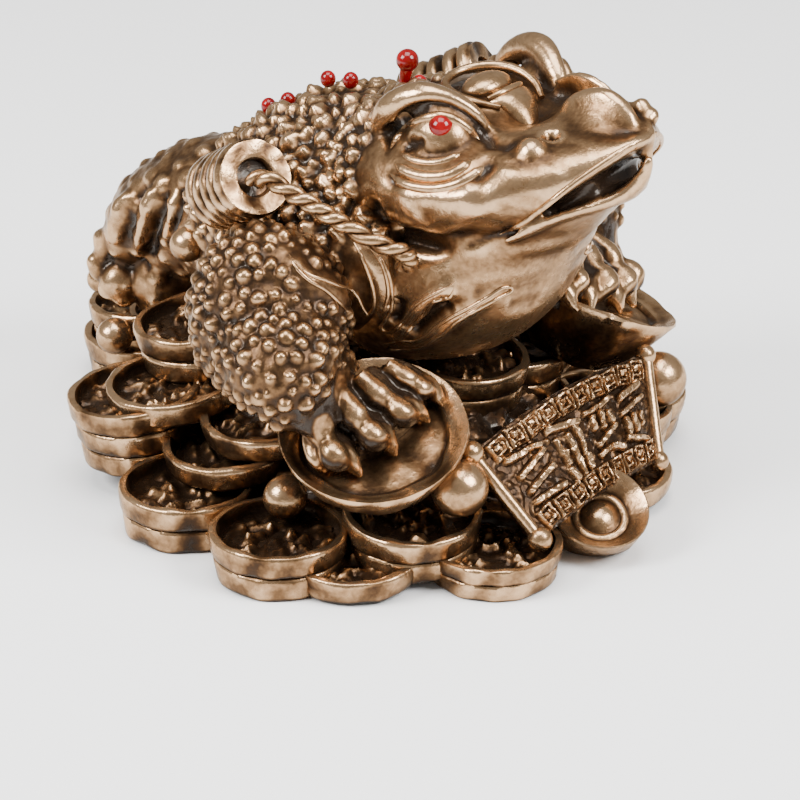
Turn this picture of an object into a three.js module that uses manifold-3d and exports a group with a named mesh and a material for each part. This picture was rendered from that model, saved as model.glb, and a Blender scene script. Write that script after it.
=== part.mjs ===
// Money toad: a three-legged toad that sits on a heap of coins, with its front feet in two
// dishes, a string of coins over each flank and a scroll below its chin. It is one resin casting.
// Millimetres, +Z up. The toad faces -Y and its right side is -X. The origin is the centre of the
// flat underside, below the middle of the bounding box.
import * as THREE from "three";
import { mergeVertices } from "three/addons/utils/BufferGeometryUtils.js";
import Module from "manifold-3d";

const wasm = await Module();
wasm.setup();

// Driving dimensions.
const COIN_RADIUS = 9;
const COIN_THICKNESS = 3.3;
const COIN_RIM = 1; // width of the raised rim
const COIN_RECESS = 1.1; // depth of the face below the rim
const COIN_GROOVE = 1; // depth of the joint below a coin
const COIN_TAPER = 0.5; // each coin of a pile is this much smaller than the one above it
const COIN_SIDES = { outer: 12, inner: 9 }; // facets of a coin at the heap's edge and within it
const HEAP_EDGE = 34; // piles that stand further out than this are at the edge
const DISH = { radius: 12.1, depth: 9 };
const DISH_PLACES = [
  { side: -1, x: 25.6, y: -20, z: 20.1 },
  { side: 1, x: 24.6, y: -18.2, z: 22.2 },
];
const DISH_LEAN = { x: 0.38, y: -0.24 }; // the dish's axis leans outwards and forwards
const KNEE = { x: 27, y: -4, z: 32 }; // the bent joint of a foreleg
const STRING_RADIUS = 5.2; // small coins threaded on the cords
const STRING_COINS = 5;
const STRING_PITCH = 2.4;
const CORD_RADIUS = 1.3;
const MOUTH_HINGE = { y: -25.2, z: 42.4 }; // where the lips meet, seen from the side
const UPPER_LIP_RISE = 40; // degrees
const LOWER_LIP_RISE = 28.5;
const BELOW_GROUND = -1.5; // the heap is built down to here, then cut flat at height 0

// Piles of coins: angle round the heap in degrees from +X, distance of the pile's centre,
// height of its top face, and coins that show in its side. These stand on both sides.
const SIDE_PILES = [
  { angle: 168, reach: 32.3, top: 6.6, coins: 2 },
  { angle: 198, reach: 35.6, top: 6.6, coins: 2 },
  { angle: 214, reach: 34.6, top: 4.4, coins: 1 },
  { angle: 227, reach: 31.6, top: 8.4, coins: 2 },
  { angle: 171, reach: 19.6, top: 13.6, coins: 1 },
  { angle: 165, reach: 24.2, top: 10.0, coins: 1 },
  { angle: 139, reach: 33.2, top: 13.4, coins: 3 },
  { angle: 141, reach: 28.2, top: 14.9, coins: 1 },
  { angle: 122, reach: 24.4, top: 20.0, coins: 2 },
];
// These stand once: before, behind and below the scroll.
const SINGLE_PILES = [
  { angle: 243, reach: 36.4, top: 4.8, coins: 2 },
  { angle: 289, reach: 32.4, top: 5.0, coins: 1 },
  { angle: 84, reach: 37.5, top: 11.5, coins: 1 },
  { angle: 87, reach: 43.6, top: 11.6, coins: 1 },
  { angle: 87, reach: 44.0, top: 7.5, coins: 2 },
  { angle: 117, reach: 33.0, top: 7.0, coins: 1 },
  { angle: 62, reach: 35.0, top: 7.0, coins: 1 },
  { angle: 286, reach: 12.4, top: 18.4, coins: 1 },
  { angle: 331, reach: 18.5, top: 14.5, coins: 1 },
];
// Toes of a front foot, from the knuckle to the claw: outwards, ahead and up from the middle of
// the dish's rim, and half-width.
const TOE_LINES = [
  [
    [4.4, -7.4, 5.6, 1.7],
    [6.3, -3.4, 4.3, 1.8],
    [7.6, 0.1, 2.6, 1.7],
    [6, 1.4, 0.3, 1.3],
    [5.9, 3, -1.4, 0.6],
  ],
  [
    [1, -6, 6, 1.8],
    [2.2, -1.4, 4.8, 1.9],
    [2.2, 2, 2.8, 1.8],
    [0.6, 3, 0.4, 1.4],
    [0.5, 4.3, -1.4, 0.6],
  ],
  [
    [-2.2, -5.4, 6, 1.8],
    [-2.4, -1, 4.7, 1.9],
    [-3.4, 2, 2.8, 1.8],
    [-5.4, 2.8, 0.4, 1.4],
    [-6.3, 4, -1.4, 0.6],
  ],
  [
    [-5.6, -4.4, 5, 1.6],
    [-6.9, -0.6, 4, 1.7],
    [-7.9, 1.4, 2.2, 1.5],
    [-9.2, 2, 0.2, 1.2],
    [-9.3, 3.7, -1.4, 0.6],
  ],
];
// Studs along the spine: place from the middle line, from the front, and height.
const SPINE_STUDS = [
  [0, 18.9, 44.8],
  [0, 15.5, 46.6],
  [0, 8.5, 50.4],
  [0, 4.6, 51.8],
  [0, -4.9, 55.6],
  [0, -6.7, 54.8],
];

const vec = (x, y, z) => new THREE.Vector3(x, y, z);
const radians = THREE.MathUtils.degToRad;

// A closed three.js geometry as a solid. Its repeated vertices are merged and the empty
// triangles at a pole are dropped.
function solidOf(geometry) {
  const bare = geometry.clone();
  bare.deleteAttribute("normal");
  bare.deleteAttribute("uv");
  const merged = mergeVertices(bare, 1e-4);
  const corners = merged.index.array;
  const kept = [];
  for (let i = 0; i < corners.length; i += 3) {
    const [a, b, c] = [corners[i], corners[i + 1], corners[i + 2]];
    if (a !== b && b !== c && c !== a) kept.push(a, b, c);
  }
  return new wasm.Manifold(
    new wasm.Mesh({
      numProp: 3,
      vertProperties: merged.attributes.position.array,
      triVerts: new Uint32Array(kept),
    }),
  );
}

// A solid turned on a vertical axis from a profile of [radius, height] pairs, bottom to top,
// then tipped so that its axis points along `up`, and moved to `place`.
function turned(profile, sides, place, up = vec(0, 0, 1)) {
  const outline = profile.map(([radius, height]) => new THREE.Vector2(radius, height));
  const geometry = new THREE.LatheGeometry(outline, sides);
  geometry.rotateX(Math.PI / 2);
  const tip = new THREE.Quaternion().setFromUnitVectors(vec(0, 0, 1), up.clone().normalize());
  geometry.applyQuaternion(tip);
  geometry.translate(place.x, place.y, place.z);
  return solidOf(geometry);
}

// An ellipsoid with the given half-lengths, pitched about X by `pitch` degrees.
function ellipsoid(place, halves, { sides = 12, rings = 8, pitch = 0 } = {}) {
  const geometry = new THREE.SphereGeometry(1, sides, rings);
  geometry.rotateX(Math.PI / 2);
  geometry.scale(halves.x, halves.y, halves.z);
  geometry.rotateX(radians(pitch));
  geometry.translate(place.x, place.y, place.z);
  return solidOf(geometry);
}

const ball = (place, radius, sides = 6) =>
  ellipsoid(place, vec(radius, radius, radius), { sides, rings: Math.max(3, Math.round(sides * 0.6)) });

// A limb: an oval section that follows a smooth path. Each station gives a place on the path,
// the section's half-width across and its half-height. Lobes round the section make grooves
// along the limb.
function limb(stations, { sides = 12, rings = 12, lobes = 0 } = {}) {
  const across = vec(1, 0, 0);
  const path = new THREE.CatmullRomCurve3(stations.map((station) => station.at));
  const spans = stations.length - 1;
  const between = (key, t) => {
    const i = Math.min(Math.floor(t * spans), spans - 1);
    return THREE.MathUtils.lerp(stations[i][key], stations[i + 1][key], t * spans - i);
  };
  const places = [];
  const triangles = [];
  for (let i = 0; i <= rings; i++) {
    const t = i / rings;
    const centre = path.getPoint(t);
    const forward = path.getTangent(t);
    const side = across.clone().addScaledVector(forward, -across.dot(forward)).normalize();
    const up = forward.clone().cross(side);
    for (let j = 0; j < sides; j++) {
      const turn = (2 * Math.PI * j) / sides;
      const swell = lobes ? 1 + 0.07 * Math.cos(lobes * turn) : 1;
      const place = centre.clone();
      place.addScaledVector(side, between("wide", t) * swell * Math.cos(turn));
      place.addScaledVector(up, between("high", t) * swell * Math.sin(turn));
      places.push(...place);
    }
  }
  const [first, last] = [sides * (rings + 1), sides * (rings + 1) + 1];
  places.push(...path.getPoint(0), ...path.getPoint(1));
  for (let j = 0; j < sides; j++) {
    const next = (j + 1) % sides;
    for (let i = 0; i < rings; i++) {
      const [a, b] = [i * sides + j, i * sides + next];
      triangles.push(a, b, a + sides, b, b + sides, a + sides);
    }
    triangles.push(first, next, j, last, rings * sides + j, rings * sides + next);
  }
  const geometry = new THREE.BufferGeometry();
  geometry.setAttribute("position", new THREE.Float32BufferAttribute(places, 3));
  geometry.setIndex(triangles);
  return solidOf(geometry);
}

const station = (x, y, z, wide, high = wide) => ({ at: vec(x, y, z), wide, high });

const union = (solids) => solids.reduce((all, solid) => all.add(solid));

// A pile of coins that leans a little outwards. A groove runs round each joint, and the top
// coin has a raised rim round a sunken face.
function coinPile({ angle, reach, top, coins }) {
  const turn = radians(angle);
  const out = vec(Math.cos(turn), Math.sin(turn), 0);
  const lowest = top - coins * COIN_THICKNESS;
  const foot = lowest < 1 ? BELOW_GROUND : lowest;
  const thickness = (top - Math.max(foot, 0)) / coins;
  const profile = [[0, foot - top]];
  for (let coin = 0; coin < coins; coin++) {
    const radius = COIN_RADIUS - COIN_TAPER * (coins - 1 - coin);
    const joint = coin === 0 ? foot - top : (coin - coins) * thickness;
    profile.push([radius - COIN_GROOVE, joint]);
    const edge = coin === coins - 1 ? 0 : (coin + 0.8 - coins) * thickness;
    profile.push([radius, edge]);
  }
  profile.push([COIN_RADIUS - COIN_RIM, -COIN_RECESS]);
  profile.push([0, -COIN_RECESS]);
  const lean = foot > 1 ? 0.1 : 0;
  const up = vec(out.x * lean, out.y * lean, 1);
  const sides = reach > HEAP_EDGE ? COIN_SIDES.outer : COIN_SIDES.inner;
  return turned(profile, sides, vec(out.x * reach, out.y * reach, top), up);
}

const mirrored = (pile) => ({ ...pile, angle: 180 - pile.angle });

// The mass inside the heap, which closes the gaps between the piles.
function heapCore() {
  const profile = [
    [0, BELOW_GROUND],
    [30, BELOW_GROUND],
    [30, 1.6],
    [24, 7],
    [20, 12],
    [15.5, 16],
    [10, 19],
    [0, 20.5],
  ];
  const stretched = new THREE.LatheGeometry(
    profile.map(([radius, height]) => new THREE.Vector2(radius, height)),
    16,
  );
  stretched.rotateX(Math.PI / 2);
  stretched.scale(1, 1.16, 1);
  stretched.translate(0, 3.4, 0);
  return solidOf(stretched);
}

// A place on the plane of a dish's rim: across it outwards, ahead of its centre, and above it.
function onDish(side, across, ahead, above) {
  const centre = DISH_PLACES.find((place) => place.side === side);
  const axis = vec(side * DISH_LEAN.x, DISH_LEAN.y, 1).normalize();
  const outwards = vec(side, 0, 0).addScaledVector(axis, -side * axis.x).normalize();
  const forwards = vec(0, -1, 0).addScaledVector(axis, axis.y);
  forwards.addScaledVector(outwards, -forwards.dot(outwards)).normalize();
  const place = vec(side * centre.x, centre.y, centre.z);
  place.addScaledVector(outwards, across).addScaledVector(forwards, ahead);
  return place.addScaledVector(axis, above);
}

// A shallow dish with a sloping lip, which holds a front foot.
function dish(side) {
  const profile = [
    [0, -DISH.depth],
    [DISH.radius * 0.54, -DISH.depth],
    [DISH.radius * 0.8, -5],
    [DISH.radius, -0.3],
    [DISH.radius - 2.2, -1.1],
    [DISH.radius - 2.9, -2],
    [0, -2.1],
  ];
  const axis = vec(side * DISH_LEAN.x, DISH_LEAN.y, 1);
  return turned(profile, 14, onDish(side, 0, 0, 0), axis);
}

// A boat-shaped ingot seen from above as a ring round a dome.
function ingot(place, radius) {
  const profile = [
    [0, -7.5],
    [radius * 0.7, -7.5],
    [radius, -0.4],
    [radius * 0.97, 0],
    [radius * 0.6, -0.5],
    [radius * 0.5, -1.2],
    [radius * 0.34, 0.5],
    [0, 1.3],
  ];
  return turned(profile, 12, place, vec(-0.42, -0.46, 0.78));
}

// Pearls that lie between the coins. The one beside the scroll rests on a short seat.
function pearls() {
  const pairs = [-1, 1].flatMap((side) => [
    ball(vec(side * 29.6, -8.6, 7.9), 2.9),
    ball(vec(side * 15, 20.6, 31.2), 2.4),
  ]);
  const singles = [
    ball(vec(-20.6, -30, 13), 3.7),
    ball(vec(25, -28.9, 11.4), 3.8),
    ball(vec(-7.6, 41, 9.4), 2.7),
    ball(vec(-4, 46.6, 17.2), 1.8),
  ];
  const seat = limb([station(25, -28.9, 11.4, 2.4), station(22, -24.5, 5, 2.4)], { sides: 4, rings: 1 });
  return union([...pairs, ...singles, seat]);
}

function heap() {
  const piles = [...SIDE_PILES, ...SIDE_PILES.map(mirrored), ...SINGLE_PILES].map(coinPile);
  const parts = [heapCore(), ...piles, dish(-1), dish(1), ingot(vec(-3, -41.042, 8.6), 5.7), pearls()];
  const ground = new THREE.BoxGeometry(140, 140, 20);
  ground.translate(0, 0, -10);
  return union(parts).subtract(solidOf(ground));
}

// The trunk tapers from the shoulders to the rump.
function trunk() {
  return limb(
    [
      station(0, 38, 23, 6, 6),
      station(0, 30, 27, 8, 8),
      station(0, 20, 30, 14, 12),
      station(0, 8, 34, 20.5, 16),
      station(0, -6, 37, 21.5, 16.2),
      station(0, -15, 39, 17, 14),
    ],
    { sides: 14, rings: 7 },
  );
}

// The single hind leg arches over the rump and comes down behind, with long grooves in its skin.
function hindLeg() {
  const shank = limb(
    [
      station(0, 20, 33, 9, 8),
      station(0, 29, 31, 9.4, 8.6),
      station(0, 36.5, 27, 8.8, 8),
      station(0, 41, 21.5, 7.6, 6.6),
      station(0, 42.5, 15, 6, 5),
    ],
    { sides: 15, rings: 6, lobes: 5 },
  );
  const toes = [-1.2, 0, 1.2].map((spread) =>
    limb(
      [
        station(spread * 3.2, 41.4, 22, 2.2),
        station(spread * 3.8, 44.2, 19, 2.3),
        station(spread * 4.2, 45, 15.5, 1.9),
        station(spread * 4.2, 44.6, 12.5, 1),
      ],
      { sides: 5, rings: 3 },
    ),
  );
  return union([shank, ...toes]);
}

// A foreleg: the bent joint stands out as a large bulge, and the forearm ends in a webbed foot.
function foreleg(side) {
  const knee = vec(side * KNEE.x, KNEE.y, KNEE.z);
  const bulge = ellipsoid(knee, vec(10.1, 10.7, 12), { sides: 12, rings: 7 });
  const forearm = limb(
    [
      { at: vec(side * (KNEE.x + 0.6), KNEE.y - 1, KNEE.z - 3), wide: 8.8, high: 9 },
      { at: onDish(side, 3.4, -10.5, 8.4), wide: 8.2, high: 7.4 },
      { at: onDish(side, 2.4, -7.2, 5.4), wide: 7.4, high: 4.2 },
      { at: onDish(side, 1, -3.4, 2), wide: 7.4, high: 2.2 },
      { at: onDish(side, 0.4, 0.6, -0.4), wide: 8, high: 1.4 },
    ],
    { sides: 10, rings: 5 },
  );
  const toes = TOE_LINES.map((line) =>
    limb(
      line.map(([across, ahead, above, thick]) => ({
        at: onDish(side, across, ahead, above),
        wide: thick,
        high: thick,
      })),
      { sides: 4, rings: 3 },
    ),
  );
  return union([bulge, forearm, ...toes]);
}

// Warts on the outer face of the bent joint, in rows round it.
function kneeWarts(side) {
  const warts = [];
  for (let row = 0; row < 3; row++) {
    const rise = radians(-38 + row * 38);
    const inRow = row === 1 ? 4 : 2;
    for (let i = 0; i < inRow; i++) {
      const turn = radians(-66 + (150 * (i + 0.5 * (row % 2))) / inRow);
      const level = Math.cos(rise);
      const out = vec(side * Math.cos(turn) * level, Math.sin(turn) * level, Math.sin(rise));
      const place = vec(side * KNEE.x + out.x * 9.9, KNEE.y + out.y * 10.5, KNEE.z + out.z * 11.8);
      warts.push(ball(place, 1.2 + 0.2 * ((i + row) % 3), 5));
    }
  }
  return union(warts);
}

// The upper head is a wedge from the nape to the lip, and the throat pouch hangs below it.
// A ridge stands along the middle of the snout, with a thin fold beside it.
function head() {
  const skull = limb(
    [
      station(0, -5, 45, 16, 9.5),
      station(0, -14, 48.5, 18, 9.3),
      station(0, -22, 49.5, 18, 8),
      station(0, -29, 50.5, 16.5, 7.2),
      station(0, -34.5, 52.3, 13, 5.6),
      station(0, -38.6, 54.6, 9, 3.4),
      station(0, -41.2, 56.4, 5, 1.3),
      station(0, -42.8, 57.6, 2.4, 0.6),
    ],
    { sides: 14, rings: 8 },
  );
  const pouch = limb(
    [
      station(0, -6, 31, 18, 12.5),
      station(0, -14, 33.9, 16.8, 12.8),
      station(0, -20.4, 38, 15.2, 11.1),
      station(0, -26.6, 43, 13.2, 7),
      station(0, -31, 45.8, 11, 4.8),
      station(0, -35, 47.9, 8.4, 3),
      station(0, -38.2, 49.6, 5.4, 1.8),
      station(0, -40.8, 50.9, 2.8, 1.2),
      station(0, -41.8, 51.8, 1.4, 0.7),
    ],
    { sides: 14, rings: 8 },
  );
  const ridge = limb(
    [
      station(1, -26.6, 54.6, 1, 2),
      station(1.2, -29.6, 56.8, 1.2, 2.4),
      station(1.4, -32.4, 58.4, 1.3, 2.8),
      station(1.4, -35.2, 59.2, 1.3, 2.7),
      station(1.2, -39.2, 57.4, 1.2, 2.4),
      station(0.8, -40.8, 56.2, 0.9, 1.4),
    ],
    { sides: 6, rings: 6 },
  );
  const leaf = limb(
    [
      station(6.2, -24, 56, 0.7, 3),
      station(5.8, -26.6, 57.8, 0.7, 3),
      station(5.1, -32, 58, 0.7, 3),
      station(4.2, -38.6, 57, 0.7, 2),
      station(1.8, -42.2, 57.3, 0.6, 0.8),
    ],
    { sides: 5, rings: 5 },
  );
  return union([skull, pouch, ridge, leaf]);
}

// The open mouth: a wedge between the lips, hollowed in the palate and in the floor.
function mouthGap() {
  const reach = 34;
  const outline = new THREE.Shape();
  const lip = (rise) => {
    const angle = radians(rise);
    return [-(MOUTH_HINGE.y - reach * Math.cos(angle)), MOUTH_HINGE.z + reach * Math.sin(angle)];
  };
  outline.moveTo(-MOUTH_HINGE.y, MOUTH_HINGE.z);
  outline.lineTo(...lip(LOWER_LIP_RISE));
  outline.lineTo(...lip(UPPER_LIP_RISE));
  outline.closePath();
  const width = 60;
  const wedge = new THREE.ExtrudeGeometry(outline, { depth: width, bevelEnabled: false });
  // The outline's x runs forwards and its y upwards; the extrusion runs across the head.
  wedge.translate(0, 0, -width / 2);
  wedge.applyMatrix4(new THREE.Matrix4().set(0, 0, -1, 0, -1, 0, 0, 0, 0, 1, 0, 0, 0, 0, 0, 1));
  const hollow = ellipsoid(vec(0, -38.8, 53.2), vec(6, 6, 3.4), { sides: 10, rings: 5 });
  return solidOf(wedge).add(hollow);
}

// Brow, eyeball and nostril on one side of the head.
function faceSide(side) {
  const brow = limb(
    [
      station(side * 12.2, -9.8, 53.6, 1.2),
      station(side * 12.8, -12.2, 57.8, 1.9),
      station(side * 12, -16, 60.15, 2.1),
      station(side * 10.9, -19.4, 60, 2),
      station(side * 9.2, -22.4, 58, 1.7),
      station(side * 7.6, -24.8, 55.2, 1),
    ],
    { sides: 6, rings: 8 },
  );
  const eyeball = ellipsoid(vec(side * 11, -19.2, 55.2), vec(4, 4.6, 4), { sides: 8, rings: 4 });
  const nostril = ellipsoid(vec(side * 6.4, -28.8, 53.8), vec(2, 2.2, 1.8), { sides: 6, rings: 4 });
  return union([brow, eyeball, nostril]);
}

// The ornament on the forehead: an oval boss over a tapered tongue.
function crest() {
  const base = ellipsoid(vec(0, -17.4, 57), vec(6.2, 6, 2), { sides: 10, rings: 4, pitch: -8 });
  const boss = ellipsoid(vec(0, -18.6, 58.9), vec(3.1, 2.7, 1.9), { sides: 8, rings: 4, pitch: -12 });
  const tongue = limb(
    [station(0, -20.8, 57.4, 3.3, 1.3), station(0, -23, 57.2, 2.9, 1.5), station(0, -26.4, 54.8, 1.6, 1)],
    { sides: 6, rings: 3 },
  );
  return union([base, boss, tongue]);
}

// A string of small coins on a flank, and the cord from it to the corner of the mouth.
function coinString(side) {
  const front = vec(side * 24.2, 0.3, 48.9);
  const back = vec(side * 0.35, -0.8, 0.48).normalize(); // from the rear coin to the front one
  const length = STRING_COINS * STRING_PITCH;
  const profile = [[0, 0]];
  for (let coin = 0; coin < STRING_COINS; coin++) {
    profile.push([STRING_RADIUS - 0.9, coin * STRING_PITCH]);
    profile.push([STRING_RADIUS, (coin + (coin === STRING_COINS - 1 ? 1 : 0.7)) * STRING_PITCH]);
  }
  profile.push([STRING_RADIUS * 0.42, length]);
  profile.push([STRING_RADIUS * 0.36, length - 1.2]);
  profile.push([0, length - 1.2]);
  const coins = turned(profile, 9, front.clone().addScaledVector(back, -length), back);
  const cord = limb(
    [
      station(side * 23.4, 2.2, 47.8, CORD_RADIUS),
      station(side * 25.2, -2.6, 49.6, CORD_RADIUS),
      station(side * 24.4, -8.8, 47.6, CORD_RADIUS),
      station(side * 23, -13.8, 45.3, CORD_RADIUS),
      station(side * 19.8, -19.8, 42.5, CORD_RADIUS),
      station(side * 16, -24, 41.2, CORD_RADIUS),
      station(side * 12.4, -25.6, 41, CORD_RADIUS),
    ],
    { sides: 4, rings: 6 },
  );
  return union([coins, cord]);
}

// The studs along the spine, on a low ridge of smaller warts at both sides.
function backStuds() {
  const studs = SPINE_STUDS.map((place) =>
    ellipsoid(vec(...place), vec(1.1, 1.1, 2.6), { sides: 5, rings: 3 }),
  );
  const warts = [];
  for (let i = 0; i < 3; i++) {
    const [x, y] = [7 + 1.5 * i, 13 - 7 * i];
    const crown = 34 + 16 * Math.sqrt(1 - (x / 22) ** 2) + Math.min(0, (3 - y) * 0.4);
    warts.push(ball(vec(x, y, crown), 1.8, 5), ball(vec(-x, y, crown), 1.8, 5));
  }
  return union([...studs, ...warts]);
}

// The scroll: a bowed tablet between two rollers with round ends.
function scroll() {
  const corner = {
    topNear: vec(-17.2, -29.2, 16.4),
    footNear: vec(-14.6, -38.4, 6),
    topFar: vec(19.4, -30.4, 17.4),
    footFar: vec(13.4, -37.2, 6),
  };
  const columns = 5;
  const thickness = 2.4;
  const places = [];
  for (let i = 0; i <= columns; i++) {
    const t = i / columns;
    const bow = Math.sin(Math.PI * t) * 2.4;
    const top = corner.topNear.clone().lerp(corner.topFar, t).add(vec(0, -0.3 * bow, bow));
    const foot = corner.footNear.clone().lerp(corner.footFar, t).add(vec(0, -0.5 * bow, 0.8 * bow));
    const inward = vec(0, thickness * 0.85, -thickness * 0.55);
    places.push(...top, ...foot, ...foot.clone().add(inward), ...top.clone().add(inward));
  }
  const triangles = [];
  const quad = (a, b, c, d) => triangles.push(a, b, c, a, c, d);
  for (let i = 0; i < columns; i++) {
    for (let j = 0; j < 4; j++) {
      const next = (j + 1) % 4;
      quad(i * 4 + j, i * 4 + next, i * 4 + 4 + next, i * 4 + 4 + j);
    }
  }
  quad(3, 2, 1, 0);
  quad(columns * 4, columns * 4 + 1, columns * 4 + 2, columns * 4 + 3);
  const geometry = new THREE.BufferGeometry();
  geometry.setAttribute("position", new THREE.Float32BufferAttribute(places, 3));
  geometry.setIndex(triangles);
  const tablet = solidOf(geometry);
  const rollers = [
    [corner.topNear, corner.footNear],
    [corner.topFar, corner.footFar],
  ].map(([top, foot]) => {
    const ends = [top, foot].map((at) => ({ at, wide: 1, high: 1 }));
    const rod = limb(ends, { sides: 6, rings: 1 });
    return union([rod, ball(top, 1.6, 5), ball(foot, 1.7, 5)]);
  });
  return union([tablet, ...rollers]);
}

const toad = union([
  trunk(),
  head(),
  hindLeg(),
  ...[-1, 1].flatMap((side) => [foreleg(side), kneeWarts(side), faceSide(side), coinString(side)]),
  crest(),
  backStuds(),
]).subtract(mouthGap());

const figure = union([heap(), scroll(), toad]);

// The solid as a three.js geometry, moved so that the origin is under the middle of its box.
function geometryOf(solid) {
  const { numProp, vertProperties, triVerts } = solid.getMesh();
  const places = new Float32Array((vertProperties.length / numProp) * 3);
  for (let i = 0; i < places.length / 3; i++) {
    places.set(vertProperties.subarray(i * numProp, i * numProp + 3), i * 3);
  }
  const geometry = new THREE.BufferGeometry();
  geometry.setAttribute("position", new THREE.BufferAttribute(places, 3));
  geometry.setIndex(new THREE.BufferAttribute(new Uint32Array(triVerts), 1));
  geometry.computeBoundingBox();
  const middle = geometry.boundingBox.getCenter(vec(0, 0, 0));
  geometry.translate(-middle.x, -middle.y, -geometry.boundingBox.min.z);
  geometry.computeVertexNormals();
  return geometry;
}

const bronzeResin = new THREE.MeshStandardMaterial({
  color: 0x9c7747,
  roughness: 0.38,
  metalness: 0.8,
});

const model = new THREE.Group();
const moneyToad = new THREE.Mesh(geometryOf(figure), bronzeResin);
moneyToad.name = "money_toad_figure";
model.add(moneyToad);

export default model;
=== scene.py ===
import math
import bpy
import numpy as np
from mathutils import Matrix, Vector
from mathutils.bvhtree import BVHTree


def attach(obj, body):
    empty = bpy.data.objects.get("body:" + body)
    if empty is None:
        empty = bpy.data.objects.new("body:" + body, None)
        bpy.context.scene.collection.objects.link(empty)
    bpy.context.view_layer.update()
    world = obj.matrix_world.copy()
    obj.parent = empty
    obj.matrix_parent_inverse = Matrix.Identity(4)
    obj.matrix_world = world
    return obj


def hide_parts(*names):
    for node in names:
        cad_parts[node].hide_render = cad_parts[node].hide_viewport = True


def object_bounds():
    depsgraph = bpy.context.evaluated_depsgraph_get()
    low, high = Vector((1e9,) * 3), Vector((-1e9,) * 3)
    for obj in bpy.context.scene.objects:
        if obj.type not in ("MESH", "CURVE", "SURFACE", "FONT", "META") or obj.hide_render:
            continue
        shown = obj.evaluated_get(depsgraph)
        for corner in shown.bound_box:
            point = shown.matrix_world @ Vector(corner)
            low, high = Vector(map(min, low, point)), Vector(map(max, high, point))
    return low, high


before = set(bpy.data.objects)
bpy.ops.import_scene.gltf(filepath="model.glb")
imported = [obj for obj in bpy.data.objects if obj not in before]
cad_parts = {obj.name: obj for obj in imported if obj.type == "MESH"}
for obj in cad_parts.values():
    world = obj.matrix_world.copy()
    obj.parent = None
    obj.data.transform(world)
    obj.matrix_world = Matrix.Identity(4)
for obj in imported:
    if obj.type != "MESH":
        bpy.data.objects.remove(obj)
cad_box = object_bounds()

# Shapes are worked out in millimetres about the middle of the heap. The shared frame has its
# origin ORIGIN_Y further back, and is in metres.
ORIGIN_Y = 3.514
MM = 0.001

# Camera, as found from mirrored pairs of points of the toad: degrees, millimetres, and pixels of
# an 800 x 800 picture.
CAMERA = {"azimuth": -51.0, "elevation": 26.3, "distance": 500.0, "focal_px": 3650.0}
CENTRE_PX = (378.0, 458.0)
PICTURE_PX = 800

# Main sizes, as in the solid model: middles of the dishes' rims for the near (-1) and the far
# side (1), and for the mouth the side view's Y and Z of the lips' corners.
COIN_RADIUS = 9.0
COIN_THICKNESS = 3.3
COIN_RIM = 1.1
DISH_PLACES = {-1: (25.6, -20.0, 20.1), 1: (24.6, -18.2, 22.2)}
DISH_LEAN = (0.38, -0.24)
DISH_RADIUS = 12.1
KNEE = (27.0, -4.0, 32.0)
MOUTH_HINGE = (-25.2, 42.4)
MOUTH_CORNER = (-31.0, 45.5)

# How steeply the lips rise from there, in degrees, and the size of each foot against the near one.
UPPER_LIP_RISE = 43.2
LOWER_LIP_RISE = 28.5
FOOT_SPREAD = {-1: 1.0, 1: 1.18}

# Width, in millimetres, of the squares of each skin.
HEAD_GRAIN = 0.39
JAW_GRAIN = 0.5
TRUNK_GRAIN = 0.36
FORELEG_GRAIN = {-1: 0.26, 1: 0.34}


# Camera and rays

def towards(azimuth, elevation):
    """The direction from the figure to something at these angles, in degrees."""
    a, e = math.radians(azimuth), math.radians(elevation)
    return Vector((math.sin(a) * math.cos(e), -math.cos(a) * math.cos(e), math.sin(e)))


def camera_matrix():
    """The camera's place and directions, in millimetres about the middle of the heap."""
    azimuth = math.radians(CAMERA["azimuth"])
    back = towards(CAMERA["azimuth"], CAMERA["elevation"])
    right = Vector((math.cos(azimuth), math.sin(azimuth), 0))
    turn = Matrix((right, back.cross(right), back)).transposed()
    yaw = math.atan2(CENTRE_PX[0] - PICTURE_PX / 2, CAMERA["focal_px"])
    pitch = math.atan2(PICTURE_PX / 2 - CENTRE_PX[1], CAMERA["focal_px"])
    aim = Matrix.Rotation(-pitch, 3, "X") @ Matrix.Rotation(yaw, 3, "Y")
    return back * CAMERA["distance"], turn @ aim


def add_camera():
    place, turn = camera_matrix()
    data = bpy.data.cameras.new("camera")
    data.sensor_width = 36
    data.lens = CAMERA["focal_px"] * 36 / PICTURE_PX
    data.clip_start = 0.01
    camera = bpy.data.objects.new("camera", data)
    camera.matrix_world = Matrix.Translation((place - Vector((0, ORIGIN_Y, 0))) * MM) @ turn.to_4x4()
    bpy.context.scene.collection.objects.link(camera)
    bpy.context.scene.camera = camera


def ray_through(px, py):
    """Start and direction, in millimetres, of the line of sight through a pixel."""
    place, turn = camera_matrix()
    half = PICTURE_PX / 2
    focal = CAMERA["focal_px"]
    return place, (turn @ Vector(((px - half) / focal, (half - py) / focal, -1))).normalized()


# Mesh tools

def activate(obj):
    bpy.ops.object.select_all(action="DESELECT")
    obj.select_set(True)
    bpy.context.view_layer.objects.active = obj


def mesh_object(name, points, faces):
    """An object from points in millimetres, kept in millimetres until it is finished."""
    data = bpy.data.meshes.new(name)
    data.from_pydata([tuple(p) for p in points], [], faces)
    data.update()
    obj = bpy.data.objects.new(name, data)
    bpy.context.scene.collection.objects.link(obj)
    return obj


def points_of(obj):
    """The places of all the points of a mesh, one to a row."""
    places = np.empty(len(obj.data.vertices) * 3)
    obj.data.vertices.foreach_get("co", places)
    return places.reshape(-1, 3)


def normals_of(obj):
    normals = np.empty(len(obj.data.vertices) * 3)
    obj.data.vertex_normals.foreach_get("vector", normals)
    return normals.reshape(-1, 3)


def move_points(obj, places):
    obj.data.vertices.foreach_set("co", places.ravel())
    obj.data.update()


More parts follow.
